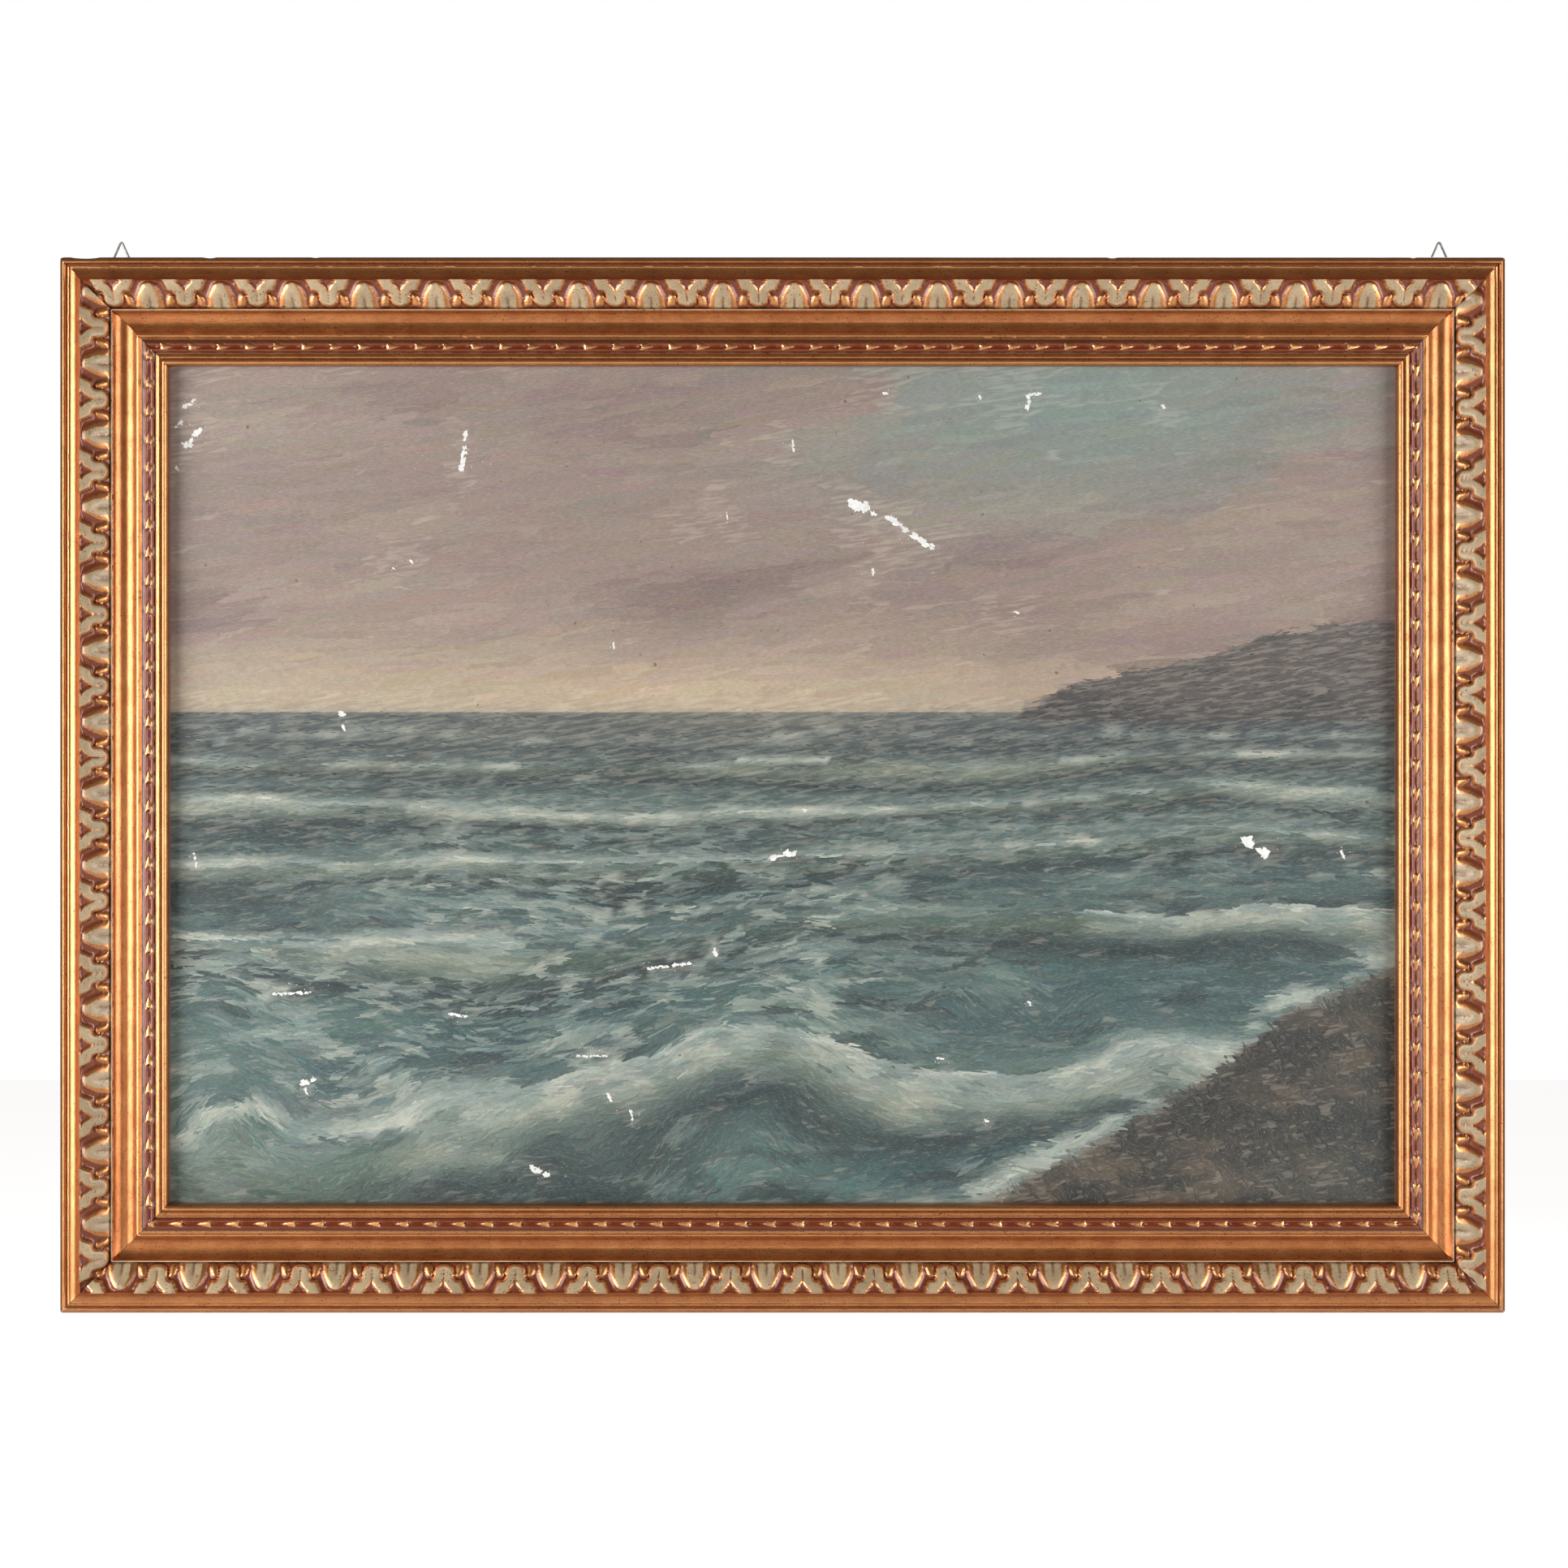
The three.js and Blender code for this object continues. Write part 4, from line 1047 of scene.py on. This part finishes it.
def makeBrushFinish(name="brushedOil"):
    material, tree, shader = newMaterial(name)
    mark = put(tree, "ShaderNodeSeparateXYZ", {0: attribute(tree, "along").outputs["Vector"]})
    size = put(tree, "ShaderNodeSeparateXYZ", {0: attribute(tree, "size").outputs["Vector"]})
    drawn = put(tree, "ShaderNodeCombineXYZ", {
        0: maths(tree, "MULTIPLY", maths(tree, "MULTIPLY", mark.outputs[0], size.outputs[0]), 0.14),
        1: maths(tree, "MULTIPLY", mark.outputs[1], size.outputs[1]),
        2: size.outputs[2],
    }).outputs[0]
    bristle = noise(tree, drawn, 2100, 3, 0.65)
    edge = attribute(tree, "edge").outputs["Fac"]
    broken = maths(tree, "ADD", edge, maths(tree, "MULTIPLY", maths(tree, "SUBTRACT", bristle, 0.5), 1.1))
    cover = remap(tree, broken, 0.12, 0.42)
    under = attribute(tree, "under").outputs["Color"]
    color = blend(tree, cover, under, attribute(tree, "stroke").outputs["Color"])
    color = blend(tree, remap(tree, bristle, 0.5, 0.72, 0.0, 0.16), color, rgb(214, 212, 200))
    color = blend(tree, remap(tree, bristle, 0.3, 0.5, 0.22, 0.0), color, rgb(40, 48, 50))
    paintLook(tree, color, maths(tree, "MULTIPLY", bristle, 1.5), shader, 0.36)
    return material


def strokeAngles(x, z, inSky):  # along the swell in the water, along the cloud banks above
    reach = 0.004
    shareX, shareZ = pictureShares(x, z)
    _, here = seaPlaces(shareX, shareZ)
    _, right = seaPlaces(shareX + reach, shareZ)
    _, below = seaPlaces(shareX, shareZ - reach)
    stretch = (faceHigh - faceLow) / (faceRight - faceLeft)
    slope = np.clip((right - here) / np.maximum(below - here, 1e-3), -1.3, 1.3) * stretch
    return np.where(inSky, 0.14, np.arctan(slope))


# where paint has come away: middle from the picture's middle, length, width, in mm, and slope in degrees
losses = [
    (-381.2, 245.6, 8.4, 3.6, 30), (-390, 230.8, 8.5, 2.6, 43), (-379.6, 222.7, 11.8, 6.3, 45),
    (-391.3, 205.5, 7, 2.6, -48), (-205.5, 213.3, 26.2, 3.1, -97), (6.6, 218, 8.4, 1.8, -83),
    (65.8, 252.2, 2.7, 2.1, -11), (127.3, 248.5, 3, 2.1, -59), (158.5, 246.4, 9.2, 3.1, 74),
    (162.7, 251.4, 5.8, 2.1, 10), (55.1, 177.1, 21.9, 6.8, -18), (81.7, 162.8, 39, 4.2, -34),
    (58, 137, 4.7, 2.1, -84), (-35.9, 173.2, 5.2, 1.3, -84), (245.1, 243.6, 2.8, 2.1, -22),
    (150.5, 110.7, 3.3, 2.1, -18), (-108.8, 89.3, 4.2, 1.6, -83), (-238.9, 143.5, 2.9, 1.6, -45),
    (-250.1, 138.8, 1.9, 1.6, -34), (-283.2, 46, 5.3, 4.7, 11), (-282.6, 37.2, 3.8, 2.6, -56),
    (1.4, -45.2, 16.2, 4.2, 15), (13.9, -16.3, 3.2, 2.1, -9), (304.7, -40.5, 16.5, 7.3, -35),
    (360.3, -45.2, 4.5, 2.1, -69), (-73.9, -116.9, 28.9, 2.1, 7), (-43.9, -106.2, 7.6, 3.1, -74),
    (-315.7, -134.3, 24.5, 2.1, 2), (-208.6, -148.4, 12.7, 2.1, -9), (-305.6, -191.1, 8.6, 3.1, 14),
    (-306.6, -197.9, 5.6, 2.1, -68), (-123.2, -174.7, 20.9, 1.6, 1), (-110.7, -201.8, 7.1, 2.6, -54),
    (-97.1, -213.5, 8.6, 2.1, -76), (-156.5, -249, 14.5, 4.7, -30), (158.5, -140.6, 3.5, 2.6, -63),
    (102.3, -176.3, 5.8, 1.6, -5), (132.2, -216.4, 4.5, 2.1, -21), (-378, -48.3, 10.5, 1.6, -84),
]


# how far out flakes may lie, and how proud of the canvas they stand, in mm
flaking = {"halfWide": 391, "halfHigh": 266, "skyFrom": 33, "onSky": 0.13, "onSea": 0.2, "body": 0.05}


def clearOfLosses(x, z, margin):
    clear = np.ones(len(x), bool)
    for acrossMm, upMm, length, width, slope in losses:
        angle = math.radians(slope)
        dx, dz = x / mm - acrossMm, (z - centreZ) / mm - upMm
        reach = np.clip(dx * math.cos(angle) + dz * math.sin(angle), -length / 2, length / 2)
        away = np.hypot(dx - reach * math.cos(angle), dz - reach * math.sin(angle))
        clear &= away > width * 0.4 + margin
    return clear


def makeFlake(number):  # one ragged scrap of bare ground, closed and flat
    rng = np.random.default_rng(60 + number)
    count = 16
    angles = np.linspace(0, 2 * math.pi, count, endpoint=False)
    reach = 0.5 * rng.uniform(0.35, 1, count)
    rim = [(r * math.cos(a), r * math.sin(a), 0) for a, r in zip(angles, reach)]
    low = [(x * 0.98, y * 0.98, -1) for x, y, _ in rim]
    faces = [(k, (k + 1) % count, 2 * count) for k in range(count)]
    faces += [(count + k, count + (k + 1) % count, (k + 1) % count, k) for k in range(count)]
    faces.append(tuple(range(2 * count - 1, count - 1, -1)))
    flake = meshObject(f"flake{number}", rim + low + [(0, 0, 0.3)], faces)
    setAttribute(flake.data, "edge", "FLOAT", [2.0] * (2 * count + 1))
    setAttribute(flake.data, "along", "FLOAT_VECTOR", rim + low + [(0, 0, 0)])
    return flake


def placeFlakes():
    rng = np.random.default_rng(23)
    rows = []
    for acrossMm, upMm, length, width, slope in losses:
        angle = math.radians(slope)
        for _ in range(max(2, round(length / width * 2.6))):
            run, side = rng.uniform(-0.5, 0.5) * length, rng.normal(0, 0.16) * width
            size = width * rng.uniform(0.5, 1.25)
            placeX = acrossMm + run * math.cos(angle) - side * math.sin(angle)
            placeZ = upMm + run * math.sin(angle) + side * math.cos(angle)
            rows.append((placeX, placeZ, size * rng.uniform(1, 1.7), size, -angle + rng.normal(0, 0.3)))
        for _ in range(round(4 + length / 3)):  # small flecks round about
            placeX = acrossMm + rng.normal(0, 0.5) * length
            placeZ = upMm + rng.normal(0, 0.5) * (width + length * 0.4)
            rows.append((placeX, placeZ, rng.uniform(0.4, 1.1), rng.uniform(0.4, 0.8), rng.uniform(-3, 3)))
    rows = np.array(rows)
    inside = (np.abs(rows[:, 0]) < flaking["halfWide"]) & (np.abs(rows[:, 1]) < flaking["halfHigh"])
    rows = rows[inside]
    count = len(rows)
    height = np.where(rows[:, 1] > flaking["skyFrom"], flaking["onSky"], flaking["onSea"])
    height = height + 0.02 * rng.random(count)
    where = np.column_stack([rows[:, 0] * mm, faceY - height * mm, centreZ + rows[:, 1] * mm])
    points = meshObject("flakePoints", where, [])
    setAttribute(points.data, "turn", "FLOAT", rows[:, 4])
    sizes = np.column_stack([rows[:, 2] * mm, rows[:, 3] * mm, rng.random(count)])
    setAttribute(points.data, "size", "FLOAT_VECTOR", sizes)
    ground = np.ones((count, 4))
    ground[:, :3] = toLinear(tint(240, 238, 234)) * rng.uniform(0.82, 1, (count, 1))
    setAttribute(points.data, "stroke", "FLOAT_COLOR", ground)
    layer = points.data.attributes.new("kind", "INT", "POINT")
    layer.data.foreach_set("value", rng.integers(0, len(bends), count).astype(np.int32))
    return points


def placeStrokes(brush, rng):
    inset = 9 * mm
    wanted = brush["count"]
    tries = wanted * (14 if brush["part"] == "foam" else 3)
    x = rng.uniform(faceLeft + inset, faceRight - inset, tries)
    z = rng.uniform(faceLow + inset, faceHigh - inset, tries)
    shareX, shareZ = pictureShares(x, z)
    color, foam = paintAll(shareX, shareZ)
    sky = shareZ > painting["horizon"] + 0.004
    hill = sky & (headland(shareX) > shareZ)
    if brush["part"] == "sky":
        keep = (shareZ > painting["horizon"] + 0.02) & ~hill
    elif brush["part"] == "sea":
        keep = ~sky | hill
    else:
        keep = foam > 0.45
    keep &= clearOfLosses(x, z, brush["length"][1] * 0.3)
    chosen = np.flatnonzero(keep)[:wanted]
    x, z, shareX, shareZ = x[chosen], z[chosen], shareX[chosen], shareZ[chosen]
    color, sky, hill = color[chosen], sky[chosen], hill[chosen]
    depth = np.clip(painting["horizon"] - shareZ, 0, 1) / painting["horizon"]
    shrink = np.where(sky & ~hill, 1.0, 0.24 + 0.76 * step(0, 0.55, depth))
    shrink = np.where(hill, 0.3, shrink)
    length = rng.uniform(*brush["length"], len(chosen)) * shrink
    width = rng.uniform(*brush["width"], len(chosen)) * shrink**1.15
    turn = strokeAngles(x, z, sky) + rng.normal(0, 0.16, len(chosen)) * np.where(sky, 0.6, 0.5 + depth)
    onLand = shore(shareX) > shareZ
    turn = np.where(onLand, rng.uniform(-1.5, 0.6, len(chosen)), turn)
    length = np.where(onLand, length * 0.6, length)
    color = color * (1 + rng.normal(0, brush["drift"], (len(chosen), 1)))
    color = color + rng.normal(0, 0.008, (len(chosen), 3))
    linear = np.ones((len(chosen), 4))
    linear[:, :3] = toLinear(np.clip(color, 0.02, 0.98)) * painting["gain"]
    lift = rng.uniform(0.01, 0.05, len(chosen)) * mm
    kinds = rng.integers(0, len(bends), len(chosen))
    points = meshObject(brush["name"] + "Points", np.column_stack([x, faceY - lift, z]), [])
    setAttribute(points.data, "turn", "FLOAT", -turn)
    sizes = np.column_stack([length * mm, width * mm, rng.random(len(chosen))])
    setAttribute(points.data, "size", "FLOAT_VECTOR", sizes)
    setAttribute(points.data, "stroke", "FLOAT_COLOR", linear)
    layer = points.data.attributes.new("kind", "INT", "POINT")
    layer.data.foreach_set("value", kinds.astype(np.int32))
    return points


def paintStrokes(canvas):
    marks = [makeMark(bend, number) for number, bend in enumerate(bends)]
    tree = makeBrushTree()
    finish = makeBrushFinish()
    rng = np.random.default_rng(7)
    laid = []
    for brush in brushes:
        points = placeStrokes(brush, rng)
        values = {"Points": points, "Canvas": canvas, "Body": brush["body"] * mm, "Finish": finish}
        for number, mark in enumerate(marks):
            values[f"Mark {number}"] = mark
        piece = grow(brush["name"] + "Marks", tree, values)
        smooth(piece, 60)
        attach(piece, "root")
        print(brush["name"], len(points.data.vertices), "marks")
        bpy.data.objects.remove(points)
        laid.append(piece)
    flakes = [makeFlake(number) for number in range(len(bends))]
    points = placeFlakes()
    values = {"Points": points, "Canvas": canvas, "Body": flaking["body"] * mm}
    values["Finish"] = makeBrushFinish("bareGround")
    for number, flake in enumerate(flakes):
        values[f"Mark {number}"] = flake
    piece = grow("paintLosses", tree, values)
    smooth(piece, 30)
    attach(piece, "root")
    laid.append(piece)
    for helper in marks + flakes + [points]:
        bpy.data.objects.remove(helper)
    return laid


canvasPiece = buildCanvas()
paintLayers = paintStrokes(canvasPiece)
print("painting done")


# the wood behind and the ironwork
def makePine(name, upright):
    material, tree, shader = newMaterial(name)
    where = put(tree, "ShaderNodeTexCoord").outputs["Object"]
    parts = put(tree, "ShaderNodeSeparateXYZ", {0: where})
    scales = (1.0, 1.0, 0.05) if upright else (0.05, 1.0, 1.0)
    drawn = put(tree, "ShaderNodeCombineXYZ", {
        axis: maths(tree, "MULTIPLY", parts.outputs[axis], scales[axis]) for axis in range(3)
    }).outputs[0]
    grainLines = noise(tree, drawn, 260, 5, 0.6, 0.4)
    pores = noise(tree, drawn, 1500, 2, 0.5)
    color = blend(tree, remap(tree, grainLines, 0.3, 0.7), rgb(196, 158, 108), rgb(150, 108, 66))
    color = blend(tree, remap(tree, pores, 0.55, 0.75, 0, 0.4), color, rgb(96, 64, 38))
    color = blend(tree, remap(tree, noise(tree, where, 12, 3), 0.45, 0.7, 0, 0.4), color, rgb(112, 84, 56))
    wire(tree, color, shader.inputs["Base Color"])
    wire(tree, remap(tree, grainLines, 0.2, 0.8, 0.55, 0.8), shader.inputs["Roughness"])
    relief = put(tree, "ShaderNodeBump", {"Strength": 0.4, "Distance": 0.0005, "Height": pores})
    wire(tree, relief.outputs[0], shader.inputs["Normal"])
    return material


def makeSteel():
    material, tree, shader = newMaterial("dulledSteel")
    where = put(tree, "ShaderNodeTexCoord").outputs["Object"]
    film = noise(tree, where, 500, 4, 0.6)
    scratches = noise(tree, where, 2600, 2, 0.5)
    rust = remap(tree, noise(tree, where, 330, 4, 0.65), 0.55, 0.68)
    color = blend(tree, film, rgb(150, 146, 136), rgb(186, 182, 172))
    rusty = blend(tree, maths(tree, "MULTIPLY", rust, 0.7), color, rgb(116, 72, 42))
    wire(tree, rusty, shader.inputs["Base Color"])
    wire(tree, maths(tree, "SUBTRACT", 0.95, maths(tree, "MULTIPLY", rust, 0.6)), shader.inputs["Metallic"])
    wire(tree, remap(tree, film, 0.2, 0.8, 0.3, 0.55), shader.inputs["Roughness"])
    relief = put(tree, "ShaderNodeBump", {"Strength": 0.3, "Distance": 0.0001, "Height": scratches})
    wire(tree, relief.outputs[0], shader.inputs["Normal"])
    return material


def makeRingTree():  # a wire bent round a closed path
    tree, given = newGeometryTree("bentWire", [
        ("Path", "NodeSocketObject"), ("Wire", "NodeSocketFloat"), ("Finish", "NodeSocketMaterial"),
    ])
    path = put(tree, "GeometryNodeObjectInfo", {"Object": given["Path"]}).outputs["Geometry"]
    curve = put(tree, "GeometryNodeMeshToCurve", {"Mesh": path}).outputs[0]
    circle = {"Resolution": 16, "Radius": given["Wire"]}
    section = put(tree, "GeometryNodeCurvePrimitiveCircle", circle).outputs[0]
    wireMesh = put(tree, "GeometryNodeCurveToMesh", {"Curve": curve, "Profile Curve": section}).outputs[0]
    whole = put(tree, "GeometryNodeRealizeInstances", {0: wireMesh}).outputs[0]
    whole = put(tree, "GeometryNodeSetMaterial", {"Geometry": whole, "Material": given["Finish"]}).outputs[0]
    put(tree, "NodeGroupOutput", {0: whole})
    return tree


ring = {"wire": 0.7, "corner": 1.9, "apex": 2.7, "apexRise": 0.42, "steps": 10}


def ringPath(low, high):  # a triangle with rounded corners, its straight side below
    wireRadius = ring["wire"] * mm
    middle, depth = (low[0] + high[0]) / 2, (low[1] + high[1]) / 2
    half = (high[0] - low[0]) / 2 - wireRadius
    foot = low[2] + wireRadius
    peak = high[2] - wireRadius + ring["apex"] * ring["apexRise"] * mm  # rounding takes this off again
    corners = [(-half, foot), (half, foot), (0, peak)]
    radii = [ring["corner"] * mm, ring["corner"] * mm, ring["apex"] * mm]
    path = []
    for k, (x, z) in enumerate(corners):
        before = Vector(corners[k - 1]) - Vector((x, z))
        after = Vector(corners[(k + 1) % 3]) - Vector((x, z))
        start = Vector((x, z)) + before.normalized() * radii[k]
        end = Vector((x, z)) + after.normalized() * radii[k]
        for i in range(ring["steps"] + 1):
            t = i / ring["steps"]
            point = start * (1 - t) ** 2 + Vector((x, z)) * 2 * t * (1 - t) + end * t * t
            path.append((middle + point.x, depth, point.y))
    return path


def buildIronwork():
    steel = makeSteel()
    tree = makeRingTree()
    for side in ("left", "right"):
        path = ringPath(*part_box(f"hanger_ring_{side}"))
        links = [(k, (k + 1) % len(path)) for k in range(len(path))]
        loop = meshObject("ringPath", path, [], links)
        values = {"Path": loop, "Wire": ring["wire"] * mm, "Finish": steel}
        piece = grow(f"wireRing_{side}", tree, values)
        bpy.data.objects.remove(loop)
        closeAndFace(piece)
        smooth(piece, 60)
        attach(piece, "root")
        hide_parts(f"hanger_ring_{side}")
    return steel


steel = buildIronwork()
pineAcross = makePine("pineAcross", False)
pineUpright = makePine("pineUpright", True)
for name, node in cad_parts.items():
    finish = steel
    if name.startswith("stretcher"):
        finish = pineUpright if name.endswith(("left", "right")) else pineAcross
    for slot in node.material_slots:
        slot.material = finish
print("wood and ironwork done")
